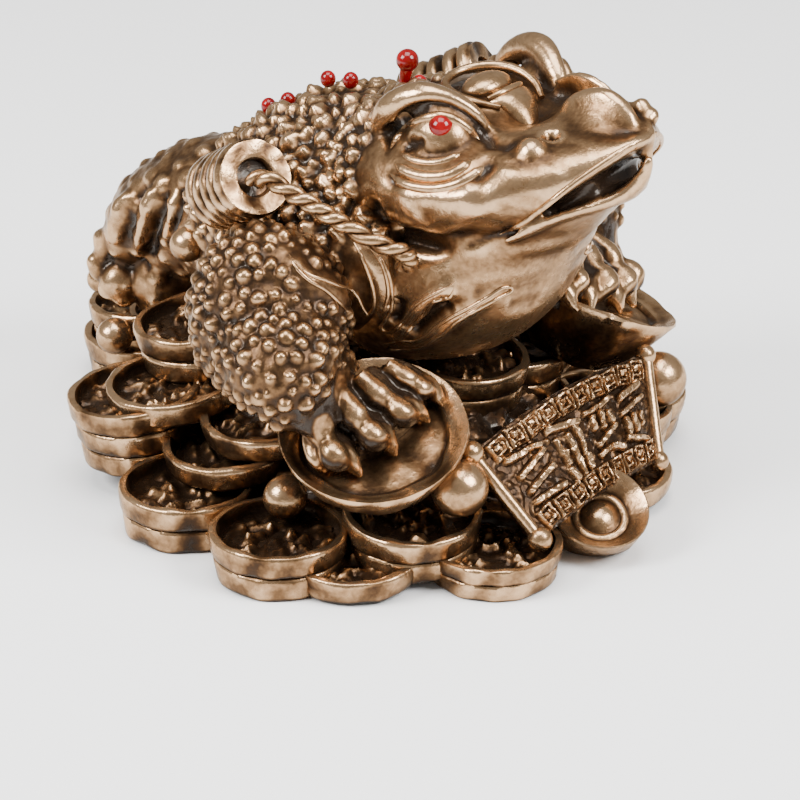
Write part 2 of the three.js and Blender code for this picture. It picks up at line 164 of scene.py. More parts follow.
def set_wash_and_shading(obj, values):
    """How dark each point of a piece is: 0 on its light high places, 1 in its hollows. On some
    pieces it also holds painted shade and painted highlight.
    """
    mesh = obj.data
    if "wash" in mesh.attributes:
        mesh.attributes.remove(mesh.attributes["wash"])
    layer = mesh.attributes.new("wash", "FLOAT", "POINT")
    layer.data.foreach_set("value", np.broadcast_to(values, len(mesh.vertices)).astype(np.float32))


def face_outwards(obj):
    activate(obj)
    bpy.ops.object.mode_set(mode="EDIT")
    bpy.ops.mesh.select_all(action="SELECT")
    bpy.ops.mesh.normals_make_consistent(inside=False)
    bpy.ops.object.mode_set(mode="OBJECT")


def join(name, objects):
    activate(objects[0])
    for obj in objects[1:]:
        obj.select_set(True)
    bpy.ops.object.join()
    joined = bpy.context.view_layer.objects.active
    joined.name = name
    return joined


def apply_modifiers(obj):
    activate(obj)
    for modifier in list(obj.modifiers):
        bpy.ops.object.modifier_apply(modifier=modifier.name)


def ellipsoid(place, halves, turn=(0, 0, 0), segments=32):
    """A ball stretched to the half-lengths, and turned by degrees about X, Y and Z."""
    bpy.ops.object.select_all(action="DESELECT")
    bpy.ops.mesh.primitive_uv_sphere_add(
        segments=segments, ring_count=segments // 2, radius=1, location=place,
        rotation=[math.radians(a) for a in turn], scale=halves,
    )
    bpy.ops.object.transform_apply(location=True, rotation=True, scale=True)
    return bpy.context.view_layer.objects.active


def smooth_path(points, count):
    """Points evenly along a Catmull-Rom curve through the given points, with any further
    numbers of each point carried along."""
    points = np.asarray(points, float)
    ends = np.vstack([2 * points[0] - points[1], points, 2 * points[-1] - points[-2]])
    out = []
    for t in np.linspace(0, len(points) - 1 - 1e-9, count):
        i = int(t)
        u = t - i
        a, b, c, d = ends[i:i + 4]
        out.append(0.5 * (2 * b + (c - a) * u + (2 * a - 5 * b + 4 * c - d) * u * u
                          + (3 * b - a - 3 * c + d) * u ** 3))
    return np.array(out)


def directions(path):
    """The way ahead at every point of a path."""
    forward = np.gradient(path, axis=0)
    return forward / np.linalg.norm(forward, axis=1)[:, None]


def ring_faces(rings, sides):
    """Faces of a skin over rings of points, closed at both ends."""
    faces = []
    for i in range(rings - 1):
        for j in range(sides):
            a, b = i * sides + j, i * sides + (j + 1) % sides
            faces.append((a, b, b + sides, a + sides))
    faces.append(tuple(range(sides))[::-1])
    faces.append(tuple((rings - 1) * sides + j for j in range(sides)))
    return faces


def sheet_faces(rows, columns):
    """Faces of a sheet of rows of points."""
    return [(i * columns + j, i * columns + j + 1, (i + 1) * columns + j + 1, (i + 1) * columns + j)
            for i in range(rows - 1) for j in range(columns - 1)]


def loft(stations, sides, rings):
    """A closed limb. Each station is x, y, z, half-width across and half-height."""
    path = smooth_path(stations, rings + 1)
    centres = path[:, :3]
    points = []
    for centre, along, size in zip(centres, directions(centres), np.maximum(path[:, 3:], 0.05)):
        side = np.array([1.0, 0, 0]) - along[0] * along
        side /= np.linalg.norm(side)
        up = np.cross(along, side)
        for j in range(sides):
            turn = 2 * math.pi * j / sides
            points.append(centre + side * size[0] * math.cos(turn) + up * size[1] * math.sin(turn))
    return mesh_object("limb", points, ring_faces(rings + 1, sides))


def tube(rows, sides, count):
    """A round rod. Each row is x, y, z and half-width."""
    path = smooth_path([tuple(row) for row in rows], count)
    centres = path[:, :3]
    forward = directions(centres)
    side = np.cross(forward[0], [0.3, 0.2, 1.0])
    points = []
    for centre, along, size in zip(centres, forward, np.maximum(path[:, 3], 0.03)):
        side = side - side.dot(along) * along
        side /= np.linalg.norm(side)
        up = np.cross(along, side)
        for j in range(sides):
            turn = 2 * math.pi * j / sides
            points.append(centre + size * (side * math.cos(turn) + up * math.sin(turn)))
    return mesh_object("tube", points, ring_faces(count, sides))


def mirrored(rows, side):
    """The same rows on the far side (1) or the near side (-1)."""
    return [(side * x, *rest) for x, *rest in rows]


def lumps(places, pitch, seed, finest):
    """Gentle waves over places, about `pitch` millimetres from one lump to the next; `finest` is
    the closest wave's share of that."""
    rng = np.random.default_rng(seed)
    lift = np.zeros(len(places))
    for _ in range(10):
        way = rng.normal(0, 1, 3)
        way *= 2 * math.pi / (pitch * rng.uniform(finest, 1.6)) / np.linalg.norm(way)
        lift += np.sin(places @ way + rng.uniform(0, 6.28))
    return lift / 2.2


def fuse(name, objects, grain, relax):
    """One even skin over all the objects, in squares of the grain's width, smoothed a little."""
    obj = join(name, objects)
    remesh = obj.modifiers.new("skin", "REMESH")
    remesh.mode = "VOXEL"
    remesh.voxel_size = grain
    remesh.adaptivity = 0
    smooth = obj.modifiers.new("relax", "SMOOTH")
    smooth.factor = 0.5
    smooth.iterations = relax
    apply_modifiers(obj)
    return obj


def cut_away(obj, cutter):
    boolean = obj.modifiers.new("cut", "BOOLEAN")
    boolean.operation = "DIFFERENCE"
    boolean.solver = "EXACT"
    boolean.object = cutter
    apply_modifiers(obj)
    bpy.data.objects.remove(cutter)


# How many points of a skin are tried as the middle of a wart.
WART_TRIES = 14000


class Skin:
    """The points of a fused object, for relief that is worked out point by point."""

    def __init__(self, obj):
        self.obj = obj
        self.co = points_of(obj)
        n = len(self.co)
        edges = np.empty(len(obj.data.edges) * 2, int)
        obj.data.edges.foreach_get("vertices", edges)
        self.a, self.b = edges.reshape(-1, 2).T
        self.degree = np.maximum(np.bincount(self.a, minlength=n) + np.bincount(self.b, minlength=n), 1)
        self.refresh()
        self.tree = BVHTree.FromObject(obj, bpy.context.evaluated_depsgraph_get())

    def refresh(self):
        move_points(self.obj, self.co)
        self.normal = normals_of(self.obj)

    def average(self, values, times):
        """Values spread to neighbouring points, the given number of times."""
        values = values.reshape(len(self.co), -1).copy()
        for _ in range(times):
            spread = np.empty_like(values)
            for k in range(values.shape[1]):
                column = values[:, k]
                total = (np.bincount(self.a, column[self.b], len(values))
                         + np.bincount(self.b, column[self.a], len(values)))
                spread[:, k] = 0.5 * column + 0.5 * total / self.degree
            values = spread
        return values.squeeze()

    def seen(self, px, py):
        """The point of the skin at a pixel of the picture, or None beside it."""
        start, direction = ray_through(px, py)
        hit = self.tree.ray_cast(start, direction)[0]
        return None if hit is None else np.array(hit)

    def trace(self, pixels):
        """Points of the skin along a smooth line through the pixels."""
        line = smooth_path(pixels, 5 * len(pixels))
        return [p for p in (self.seen(*px) for px in line) if p is not None]

    def nearest(self, point):
        return np.array(self.tree.find_nearest(Vector(point))[0])

    def distance_to(self, points):
        """Distance from every point of the skin to a line through the points, and how far along the
        line, from 0 to 1, its closest place is. Points over 6 mm away are only said to be far."""
        line = np.asarray(points)
        low, high = line.min(0) - 6, line.max(0) + 6
        near = np.where(((self.co > low) & (self.co < high)).all(1))[0]
        best = np.full(len(self.co), 99.0)
        along = np.zeros(len(self.co))
        for i, (start, end) in enumerate(zip(line[:-1], line[1:])):
            way = end - start
            t = np.clip((self.co[near] - start) @ way / (way @ way), 0, 1)
            gap = np.linalg.norm(self.co[near] - start - t[:, None] * way, axis=1)
            closer = gap < best[near]
            best[near[closer]] = gap[closer]
            along[near[closer]] = (i + t[closer]) / (len(line) - 1)
        return best, along

    def strokes(self, lines, width, height, mirror):
        """Ridges (height above 0) or grooves (below 0) along lines of points, fading at both
        ends. Mirrored lines are laid on the other side of the body too."""
        lift = np.zeros(len(self.co))
        for line in lines:
            line = np.array(line)
            if len(line) < 2:
                continue
            sides = [line]
            if mirror:
                sides.append(np.array([self.nearest((-x, y, z)) for x, y, z in line]))
            for points in sides:
                gap, along = self.distance_to(points)
                fade = np.clip(np.minimum(along, 1 - along) * 6 + 0.25, 0, 1)
                wave = height * fade * np.exp(-(gap / width) ** 2)
                lift = np.where(np.abs(wave) > np.abs(lift), wave, lift)
        self.co += self.normal * lift[:, None]

    def draw(self, lines, mirror=True):
        """Strokes from rows of half-width, height and pixels."""
        for width, height, pixels in lines:
            self.strokes([self.trace(pixels)], width, height, mirror)

    def swell(self, place, spread, height, mirror=True):
        """A soft bulge (or a dent, below 0) about a place, with its own spread along X, Y and Z."""
        lift = np.zeros(len(self.co))
        for side in ((1, -1) if mirror and place[0] else (1,)):
            gap = (self.co - np.array(place) * (side, 1, 1)) / np.array(spread)
            lift += height * np.exp(-(gap ** 2).sum(1))
        self.co += self.normal * lift[:, None]

    def relax(self, times, where=None):
        """Smooths the skin, all over or where the mask is true."""
        smooth = self.average(self.co, times)
        if where is None:
            self.co = smooth
        else:
            mask = self.average(where.astype(float), 6)[:, None]
            self.co = self.co + (smooth - self.co) * mask

    def warts(self, where, spacing, radius, height, seed, sink=0.25):
        """Round warts scattered where the mask is true, about `spacing` apart. The skin between
        them is let down by `sink`."""
        rng = np.random.default_rng(seed)
        candidates = rng.permutation(np.where(where)[0])
        kept = np.empty((0, 3))
        for i in candidates[:WART_TRIES]:
            point = self.co[i]
            if not len(kept) or ((kept - point) ** 2).sum(1).min() > (spacing * rng.uniform(0.85, 1.2)) ** 2:
                kept = np.vstack([kept, point])
        sizes = radius * rng.uniform(0.6, 1.3, len(kept))
        lift = np.zeros(len(self.co))
        for centre, size in zip(kept, sizes):
            near = np.where((np.abs(self.co - centre) < size).all(1))[0]
            gap = np.linalg.norm(self.co[near] - centre, axis=1) / size
            dome = height * (size / radius) * np.clip(1 - gap ** 2, 0, 1) ** 0.8
            lift[near] = np.maximum(lift[near], dome)
        mask = self.average(where.astype(float), 8)
        self.co += self.normal * (lift - sink * mask * (lift < 0.05))[:, None]

    def roughen(self, where, amount, pitch, seed):
        """Gentle lumps all over the mask, about `pitch` millimetres from one to the next."""
        mask = self.average(where.astype(float), 6)
        self.co += self.normal * (amount * lumps(self.co, pitch, seed, 0.7) * mask)[:, None]

    def finish(self, extra_wash_and_shading=0, fine=0.10, middle=0.35, broad=1.1):
        """Sets the wash from how far each point lies below its surroundings. The sizes are the
        depths, in millimetres, that count as deep in a narrow, a middling and a broad hollow."""
        self.refresh()
        depth = np.zeros(len(self.co))
        level = self.co
        for times, size in ((4, fine), (18, middle), (60, broad)):
            level = self.average(level, times)
            depth += ((level - self.co) * self.normal).sum(1) / size
        wash = np.clip(0.5 + 0.34 * self.average(depth, 1), 0, 1)
        set_wash_and_shading(self.obj, np.clip(wash + extra_wash_and_shading, 0, 1))


def blade(rows, drops):
    """A standing edge: tubes through the same rows, one below the other."""
    return [tube([(x, y, z - drop, r) for x, y, z, r in rows], sides=14, count=44) for drop in drops]


def first_seen(skins, px, py):
    """The nearest point, over all the skins, that is seen at a pixel."""
    eye = np.array(ray_through(px, py)[0])
    points = [p for p in (skin.seen(px, py) for skin in skins) if p is not None]
    return min(points, key=lambda p: np.linalg.norm(p - eye)) if points else None


def closest(skins, point):
    """The point of the skins that is closest to a place."""
    return min((skin.nearest(point) for skin in skins), key=lambda p: np.linalg.norm(p - np.array(point)))


# The step, in millimetres, at which a line of pixels has jumped to another skin.
SEAM_JUMP = 4


def seams(skins, pixels, radius, sink=0.0):
    """A raised edge that follows a line of pixels over the skins, tapering at both ends, and its
    mirror image; sink is the share of the radius that it lies below the skin. Where the line jumps
    from one skin to another, its longest stretch is used."""
    runs = [[]]
    for px in smooth_path(pixels, 3 * len(pixels)):
        point = first_seen(skins, *px)
        if point is None:
            continue
        if runs[-1] and np.linalg.norm(point - runs[-1][-1]) > SEAM_JUMP:
            runs.append([])
        runs[-1].append(point)
    near = max(runs, key=len)
    if len(near) < 4:
        return []
    parts = []
    for points in (near, [closest(skins, (-x, y, z)) for x, y, z in near]):
        path = smooth_path(points, 3 * len(points))
        path[:, 2] -= sink * radius
        path[1:-1] = (path[:-2] + 2 * path[1:-1] + path[2:]) / 4
        share = np.linspace(0, 1, len(path))
        width = radius * np.clip(np.sin(math.pi * share) * 2.2, 0.15, 1)
        edge = tube(np.column_stack([path, width]), sides=10, count=2 * len(path))
        set_wash_and_shading(edge, 0.12)
        parts.append(edge)
    return parts


def weather(obj, amount, pitch, seed, stain=0.12):
    """The slight unevenness of a casting: lumps on the surface and in its wash."""
    places = points_of(obj)
    lump = lumps(places, pitch, seed, 0.6)
    wash = np.empty(len(places), dtype=np.float32)
    obj.data.attributes["wash"].data.foreach_get("value", wash)
    move_points(obj, places + normals_of(obj) * (amount * lump)[:, None])
    set_wash_and_shading(obj, np.clip(wash - stain * lump, 0, 1))
    return obj


# Materials

# Stops of the bronze from its bright high places to its hollows: wash, then linear colour, and
# the same for its roughness and its metal.
BRONZE_COLOURS = [
    (0.0, (0.55, 0.352, 0.196)), (0.28, (0.32, 0.19, 0.095)), (0.50, (0.14, 0.075, 0.035)),
    (0.70, (0.048, 0.025, 0.0125)), (0.92, (0.0165, 0.0095, 0.0057)),
]
BRONZE_ROUGHNESS = [(0.0, 0.22), (0.5, 0.32), (0.75, 0.36), (0.95, 0.2)]
BRONZE_METAL = [(0.0, 0.95), (0.65, 0.9), (0.85, 0.6), (0.97, 0.0)]
# How much the cloudy and the fine grain add to the wash.
CLOUD_SHARE = 0.4
GRAIN_SHARE = 0.45
RED_COLOURS = [(0.35, (0.11, 0.0008, 0.0015)), (0.65, (0.24, 0.0015, 0.003))]


def colour_ramp(tree, source, stops):
    """The colour, or the grey, between the stops."""
    node = tree.nodes.new("ShaderNodeValToRGB")
    points = node.color_ramp.elements
    while len(points) < len(stops):
        points.new(0.5)
    for point, (at, value) in zip(points, stops):
        point.position = at
        point.color = (*value, 1) if isinstance(value, tuple) else (value, value, value, 1)
    tree.links.new(source, node.inputs["Fac"])
    return node.outputs["Color"]


def noise_pattern(tree, scale, detail):
    place = tree.nodes.new("ShaderNodeTexCoord")
    node = tree.nodes.new("ShaderNodeTexNoise")
    node.inputs["Scale"].default_value = scale
    node.inputs["Detail"].default_value = detail
    tree.links.new(place.outputs["Object"], node.inputs["Vector"])
    return node.outputs["Fac"]


def sum_of(tree, first, second, share):
    """The first pattern, with a share of the second added."""
    node = tree.nodes.new("ShaderNodeMath")
    node.operation = "MULTIPLY_ADD"
    tree.links.new(second, node.inputs[0])
    node.inputs[1].default_value = share
    tree.links.new(first, node.inputs[2])
    return node.outputs[0]


def bronze_group():
    """Antique bronze: gold on the high places, brown between, near black in the hollows. The
    wash attribute of the mesh says how deep each place lies, and on some pieces it also holds
    painted shade and painted highlight."""
    group = bpy.data.node_groups.new("antique bronze", "ShaderNodeTree")
    for name, kind in (("Color", "NodeSocketColor"), ("Roughness", "NodeSocketFloat"),
                       ("Metallic", "NodeSocketFloat"), ("Normal", "NodeSocketVector")):
        group.interface.new_socket(name, in_out="OUTPUT", socket_type=kind)
    out = group.nodes.new("NodeGroupOutput")
    wash = group.nodes.new("ShaderNodeAttribute")
    wash.attribute_name = "wash"
    lift = group.nodes.new("ShaderNodeMath")
    lift.operation = "SUBTRACT"
    group.links.new(wash.outputs["Fac"], lift.inputs[0])
    lift.inputs[1].default_value = 0.5 * (CLOUD_SHARE + GRAIN_SHARE)
    cloudy = sum_of(group, lift.outputs[0], noise_pattern(group, 260, 3), CLOUD_SHARE)
    depth = sum_of(group, cloudy, noise_pattern(group, 1300, 3), GRAIN_SHARE)
    group.links.new(colour_ramp(group, depth, BRONZE_COLOURS), out.inputs["Color"])
    group.links.new(colour_ramp(group, depth, BRONZE_ROUGHNESS), out.inputs["Roughness"])
    group.links.new(colour_ramp(group, depth, BRONZE_METAL), out.inputs["Metallic"])
    bump = group.nodes.new("ShaderNodeBump")
    bump.inputs["Strength"].default_value = 0.42
    bump.inputs["Distance"].default_value = 0.0002
    pitted = sum_of(group, noise_pattern(group, 650, 4), noise_pattern(group, 2200, 2), 0.4)
    group.links.new(pitted, bump.inputs["Height"])
    group.links.new(bump.outputs["Normal"], out.inputs["Normal"])
    return group


def bronze_material(group):
    material = bpy.data.materials.new("bronze_paint")
    material.use_nodes = True
    tree = material.node_tree
    shader = tree.nodes["Principled BSDF"]
    look = tree.nodes.new("ShaderNodeGroup")
    look.node_tree = group
    for output, socket in (("Color", "Base Color"), ("Roughness", "Roughness"), ("Metallic", "Metallic"),
                           ("Normal", "Normal")):
        tree.links.new(look.outputs[output], shader.inputs[socket])
    shader.inputs["Specular IOR Level"].default_value = 0.3
    shader.inputs["Specular Tint"].default_value = (0.93, 0.85, 0.76, 1)
    return material


def enamel_material():
    material = bpy.data.materials.new("red_enamel")
    material.use_nodes = True
    tree = material.node_tree
    shader = tree.nodes["Principled BSDF"]
    tree.links.new(colour_ramp(tree, noise_pattern(tree, 500, 2), RED_COLOURS), shader.inputs["Base Color"])
    shader.inputs["Roughness"].default_value = 0.12
    shader.inputs["Specular IOR Level"].default_value = 0.4
    return material


# The toad

def mouth_wedge():
    """The open mouth, seen from the side as a wedge between the lips, wider than the head."""
    reach, half_width = 34, 30
    corners = [(MOUTH_CORNER[0] + 0.3, MOUTH_CORNER[1] - 0.1)]
    for (y, z), rise in ((MOUTH_HINGE, LOWER_LIP_RISE), (MOUTH_CORNER, UPPER_LIP_RISE)):
        angle = math.radians(rise)
        corners.append((y - reach * math.cos(angle), z + reach * math.sin(angle)))
    points = [(x, y, z) for x in (-half_width, half_width) for y, z in corners]
    wedge = mesh_object("wedge", points, [(0, 1, 2), (3, 5, 4), (0, 3, 4, 1), (1, 4, 5, 2), (2, 5, 3, 0)])
    face_outwards(wedge)
    return wedge


# Lines on the near side of the head, as seen in the picture: half-width, height (below 0 for a
# groove) and the pixels that each one runs through. They are mirrored to the far side.
HEAD_SWELLS = [
    (3.4, 0.8, [(392, 192), (420, 192), (450, 192), (480, 184)]),
    (3.2, 0.9, [(396, 212), (412, 218), (430, 216)]),
    (2.8, 0.5, [(500, 204), (508, 184), (513, 168)]),
    (2.8, 0.4, [(540, 198), (549, 182), (558, 168)]),
]
HEAD_FOLDS = [
    (0.9, 0.6, [(427, 231), (438, 214), (457, 202), (474, 196)]),
    (1.1, 0.7, [(437, 233), (457, 220), (481, 207), (500, 199)]),
    (1.0, -1.2, [(372, 196), (380, 222), (399, 236), (421, 243), (450, 250)]),
    (0.7, -0.4, [(418, 228), (430, 214), (446, 204)]),
    (0.7, -0.4, [(446, 226), (466, 214), (492, 203)]),
]
EYE_LINES = [
    (0.6, -0.35, [(464, 248), (480, 242), (496, 236), (512, 230)]),
    (0.9, -1.0, [(388, 150), (394, 130), (411, 113), (437, 105), (462, 112), (482, 130), (492, 143)]),
    (1.1, -0.8, [(384, 176), (401, 183), (428, 187), (460, 184), (482, 173), (492, 160)]),
    (0.7, -0.5, [(404, 150), (414, 144), (424, 142)]),
    (1.3, -0.6, [(484, 141), (500, 144), (514, 147)]),
]
# Lids and folds round the eye, and the edge of the upper lip, as rounded edges on the skin:
# half-width and pixels.
LIDS = [
    (0.7, [(388, 154), (397, 139), (409, 125), (424, 117), (441, 114), (457, 119), (471, 130), (484, 145)]),
    (0.4, [(500, 233), (520, 223), (545, 205), (574, 182), (610, 157), (640, 136)]),
    (0.6, [(400, 150), (413, 158), (431, 161), (449, 158), (464, 150)]),
    (0.85, [(393, 160), (407, 169), (425, 174), (446, 173), (462, 166), (476, 154)]),
    (0.75, [(389, 170), (404, 181), (428, 186), (453, 183), (473, 173), (487, 161)]),
]
THROAT_LINES = [
    (1.6, -0.35, [(480, 254), (505, 249), (533, 244), (566, 238)]),
    (1.9, -0.5, [(440, 268), (470, 268), (499, 267), (545, 260), (570, 252)]),
    (1.9, -0.5, [(470, 295), (490, 292), (514, 289), (552, 279)]),
    (1.7, -0.35, [(508, 308), (540, 300)]),
]
# Smooth bands over the chest and the shoulder, and the pits between them.
CHEST_LINES = [
    (1.3, 0.6, [(390, 338), (400, 334), (409, 322), (418, 310), (430, 300), (445, 292), (455, 284)]),
    (1.2, 0.6, [(385, 347), (405, 345), (422, 341), (436, 332), (452, 321), (469, 311), (487, 300),
                (503, 292)]),
    (1.3, -1.0, [(397, 298), (399, 312), (395, 324)]),
    (1.2, -1.2, [(410, 334), (420, 326), (432, 315), (440, 308), (452, 304)]),
]
STRAP_LINES = [
    (1.5, 0.8, [(357, 243), (366, 256), (375, 270), (381, 285), (382, 300), (379, 316)]),
]
KNEE_LINES = [
    (1.6, 0.8, [(289, 255), (298, 268.5), (310, 278), (325, 284.5), (340, 294), (349, 302)]),
]
# The crisp edges of these bands.
BAND_EDGES = [
    [(289, 254), (298, 266), (310, 275), (325, 280), (339, 286), (350, 289), (357, 296), (362, 307),
     (366, 313), (369, 314), (373, 309), (374, 300), (373, 290), (370, 279), (365, 265), (360, 253),
     (355, 244), (351, 238)],
    [(289, 256), (298, 270), (310, 281), (324, 289), (331, 295), (339, 303), (348, 312)],
    [(363, 245), (377, 254), (385, 265), (390, 279), (392, 294), (391, 310), (385, 320), (381, 325),
     (383, 330), (390, 332), (398, 327), (406, 317), (414, 306), (426, 298), (440, 291), (450, 286),
     (458, 279)],
    [(371, 250), (381, 262), (386, 277), (388, 293), (385, 307), (382, 318)],
    [(404, 339), (408, 331), (416, 322), (426, 312), (433, 302), (443, 299), (450, 297), (454, 288)],
    [(384, 344), (402, 341), (414, 341), (426, 336), (436, 327), (452, 317), (469, 308), (487, 298),
     (500, 289), (509, 287), (511, 291), (500, 297), (487, 304), (469, 314), (454, 324), (443, 334),
     (431, 341), (417, 348), (391, 350)],
]
# Pixels of the nostril, the bump behind it and the top of the snout, where a highlight is painted.
NOSTRIL = (551, 136)
NOSTRIL_BUMP = (532, 149)
SNOUT_HIGHLIGHT = (540, 120)
# The rolled edge of the lower lip, from the corner of the mouth to its upturned tip: place and
# half-width.
LOWER_LIP = [
    (-13.4, -30.6, 44.8, 0.15), (-12.5, -32.6, 46.0, 0.4), (-10.2, -35.0, 47.6, 0.6),
    (-7.6, -37.4, 48.7, 0.6), (-5.4, -38.8, 49.1, 0.7), (-3.4, -40.0, 49.6, 0.8),
    (-1.9, -41.0, 50.4, 0.9), (-0.8, -42.0, 51.8, 0.9), (-0.2, -42.9, 53.6, 0.8), (0, -43.2, 55.2, 0.7),
]
# The ridge along the top of the snout, the near edge of the hollow below it, and the thin leaf
# behind it.
SNOUT_RIDGE = [
    (1.0, -26.6, 55.6, 1.0), (1.2, -29.6, 58.0, 1.2), (1.4, -32.4, 59.8, 1.3), (1.4, -35.2, 60.6, 1.3),
    (1.4, -37.4, 60.0, 1.3), (1.2, -39.2, 58.6, 1.2), (0.8, -40.8, 56.8, 0.9),
]
HOLLOW_EDGE = [
    (-3.4, -27.4, 55.6), (-4.4, -30.2, 56.0), (-4.9, -33.0, 56.2), (-5.1, -36.0, 56.2), (-4.4, -38.8, 56.2),
    (-2.6, -40.4, 56.4), (-0.8, -41.4, 56.6),
]
SNOUT_LEAF = [
    (6.2, -24.0, 58.4, 0.7), (5.8, -26.6, 60.1, 0.7), (5.4, -29.2, 60.8, 0.7), (5.1, -32.0, 60.4, 0.7),
    (4.9, -34.6, 59.2, 0.7), (4.2, -38.6, 58.4, 0.7), (1.8, -42.2, 57.6, 0.6),
]
SNOUT_BEADS = ((5.0, -38.4, 59.2), (4.6, -40.2, 58.4))
# The skull, and the pouch under the jaws, from the neck to the tip: middles, half-widths and
# half-heights.
SKULL = [
    (0, -5, 45, 16, 9.5), (0, -14, 48.5, 18, 9.3), (0, -22, 49.5, 18, 8.0), (0, -29, 50.5, 16.5, 7.2),
    (0, -34.5, 52.3, 13, 5.6), (0, -38.6, 54.6, 9, 3.4), (0, -41.2, 56.4, 5, 1.3), (0, -42.8, 57.6, 2.4, 0.6),
]
POUCH = [
    (0, -6, 31, 18, 12.5), (0, -14, 33.9, 16.8, 12.8), (0, -20.4, 38, 15.2, 11.1), (0, -26.6, 43, 13.2, 7),
    (0, -31, 45.8, 11, 4.8), (0, -35, 47.9, 8.4, 3.0), (0, -38.2, 49.6, 5.4, 1.8), (0, -40.8, 50.9, 2.8, 1.2),
    (0, -41.8, 51.8, 1.4, 0.7),
]
# The gum deep in the open mouth, in the same form.
GUM = [(0, -29, 46, 10, 3), (0, -33, 48.6, 8.2, 3.2), (0, -36, 50.4, 6.6, 3), (0, -38.1, 51.6, 5.0, 2.6)]
# The brow over an eye, and the eye: places, and half-widths or half-lengths.
BROW = [
    (12.2, -9.8, 53.6, 1.2), (12.8, -12.2, 57.6, 1.9), (12, -16, 59.9, 2.1), (10.9, -19.4, 59.7, 2),
    (9.2, -22.4, 58, 1.7), (7.6, -24.8, 55.2, 1),
]
EYE = (11, -19.2, 55.2)
EYE_HALVES = (4, 4.6, 4)
# The boss on the forehead, its dark ring and the raised rim round it.
BOSS = (0, -17.8, 58.4)
BOSS_HALVES = (3.8, 2.8, 1.8)
BOSS_RING = (0, -18.2, 4.6, 5.4)
CREST_RIM = [
    (-3.4, -22.6, 57.6, 0.4), (-4.7, -19.6, 58.0, 0.55), (-4.6, -16.0, 58.3, 0.55), (-2.4, -13.0, 58.5, 0.55),
    (1.0, -12.8, 59.0, 0.6), (3.8, -15.0, 59.4, 0.65), (5.0, -18.4, 59.4, 0.65), (4.6, -21.8, 58.6, 0.55),
    (3.2, -24.2, 57.4, 0.4),
]
# The tapered cup in front of the boss, as middles, half-widths and half-heights, and its lip.
CREST_CUP = [
    (0, -20.4, 57.6, 3.6, 1.1), (0, -21.9, 57.6, 3.4, 1.5), (-0.4, -23.6, 56.5, 2.6, 1.6),
    (-1.0, -25.0, 55.2, 1.7, 1.3), (-1.3, -25.8, 54.2, 0.9, 0.8),
]
CUP_LIP = [
    (-3.4, -20.6, 58.3, 0.3), (-1.6, -21.6, 58.9, 0.5), (1.6, -21.6, 58.9, 0.5), (3.4, -20.6, 58.3, 0.3),
]


def shaded(obj):
    """Painted shade and highlight by height: dark at the foot of a piece, light at its top."""
    height = points_of(obj)[:, 2]
    share = (height - height.min()) / (height.max() - height.min())
    set_wash_and_shading(obj, 0.7 - 0.6 * share ** 0.7)
    return obj


def crest():
    """The almond-shaped boss on the forehead, the rim round it and the cup in front of it."""
    return [
        shaded(ellipsoid(BOSS, BOSS_HALVES, (-12, 0, 0), segments=48)),
        shaded(tube(CREST_RIM, sides=16, count=80)),
        shaded(loft(CREST_CUP, sides=36, rings=28)),
        shaded(tube(CUP_LIP, sides=14, count=30)),
    ]


def snout_sides():
    """Rows of tubes from the ridge of the snout down to the edge of the hollow, on both sides."""
    ridge = smooth_path([place for *place, _ in SNOUT_RIDGE], 12)
    edge = smooth_path(HOLLOW_EDGE, 12)
    parts = []
    for side in (1, -1):
        for share in np.linspace(0, 1, 9):
            row = ridge + (edge * (side, 1, 1) - ridge) * share
            row[:, 2] -= 1.5 * math.sin(math.pi * share)
            parts.append(tube(np.column_stack([row, np.ones(len(row))]), sides=10, count=40))
    return parts


def lips():
    """The floor of the mouth between the lower lips, their rolled edge and the gum behind."""
    floor = [(0, y, z - 0.7, max(-x, 0.7), 0.7) for x, y, z, _ in LOWER_LIP]
    edge = LOWER_LIP + mirrored(LOWER_LIP[-2::-1], -1)
    return [loft(floor, sides=32, rings=40), tube(edge, sides=14, count=120), loft(GUM, sides=32, rings=24)]


def brow_and_eye(side, bump):
    x, y, z = EYE
    return [
        tube(mirrored(BROW, side), sides=20, count=44),
        ellipsoid((side * x, y, z), EYE_HALVES),
        ellipsoid((-side * bump[0], bump[1], bump[2] - 0.55), (2.1, 2.2, 2.0), (20, 0, 0)),
    ]


def head_solid():
    """The bare head: skull and pouch with the mouth cut open, and all that stands on them."""
    bare = [loft(SKULL, sides=48, rings=40), loft(POUCH, sides=48, rings=44)]
    jaws = fuse("toad_head", bare, JAW_GRAIN, relax=3)
    cut_away(jaws, mouth_wedge())
    cut_away(jaws, ellipsoid((0, -34.6, 49.4), (7.4, 5.0, 2.6), (-28, 0, 0)))
    bump = Skin(jaws).seen(*NOSTRIL_BUMP)
    parts = [jaws] + brow_and_eye(-1, bump) + brow_and_eye(1, bump) + lips()
    parts.append(ellipsoid((0, -17.8, 56.6), (6.2, 6.4, 1.7), (-6, 0, 0)))
    parts += blade(SNOUT_RIDGE, (0, 1.4, 2.8)) + snout_sides()
    parts += blade(SNOUT_LEAF, (0, 1.2, 2.4, 3.6, 4.8))
    parts += [ellipsoid(bead, (1.2, 1.2, 1.2)) for bead in SNOUT_BEADS]
    return fuse("toad_head", parts, HEAD_GRAIN, relax=2)


def press_nostrils(skin):
    """A hole with a thin raised ring on each side."""
    hole = skin.seen(*NOSTRIL)
    for side in (-1, 1):
        gap = np.linalg.norm(skin.co - hole * (-side, 1, 1), axis=1)
        sink = 1.7 * np.exp(-(gap / 0.95) ** 4) - 0.3 * np.exp(-((gap - 1.2) / 0.35) ** 2)
        skin.co -= skin.normal * sink[:, None]


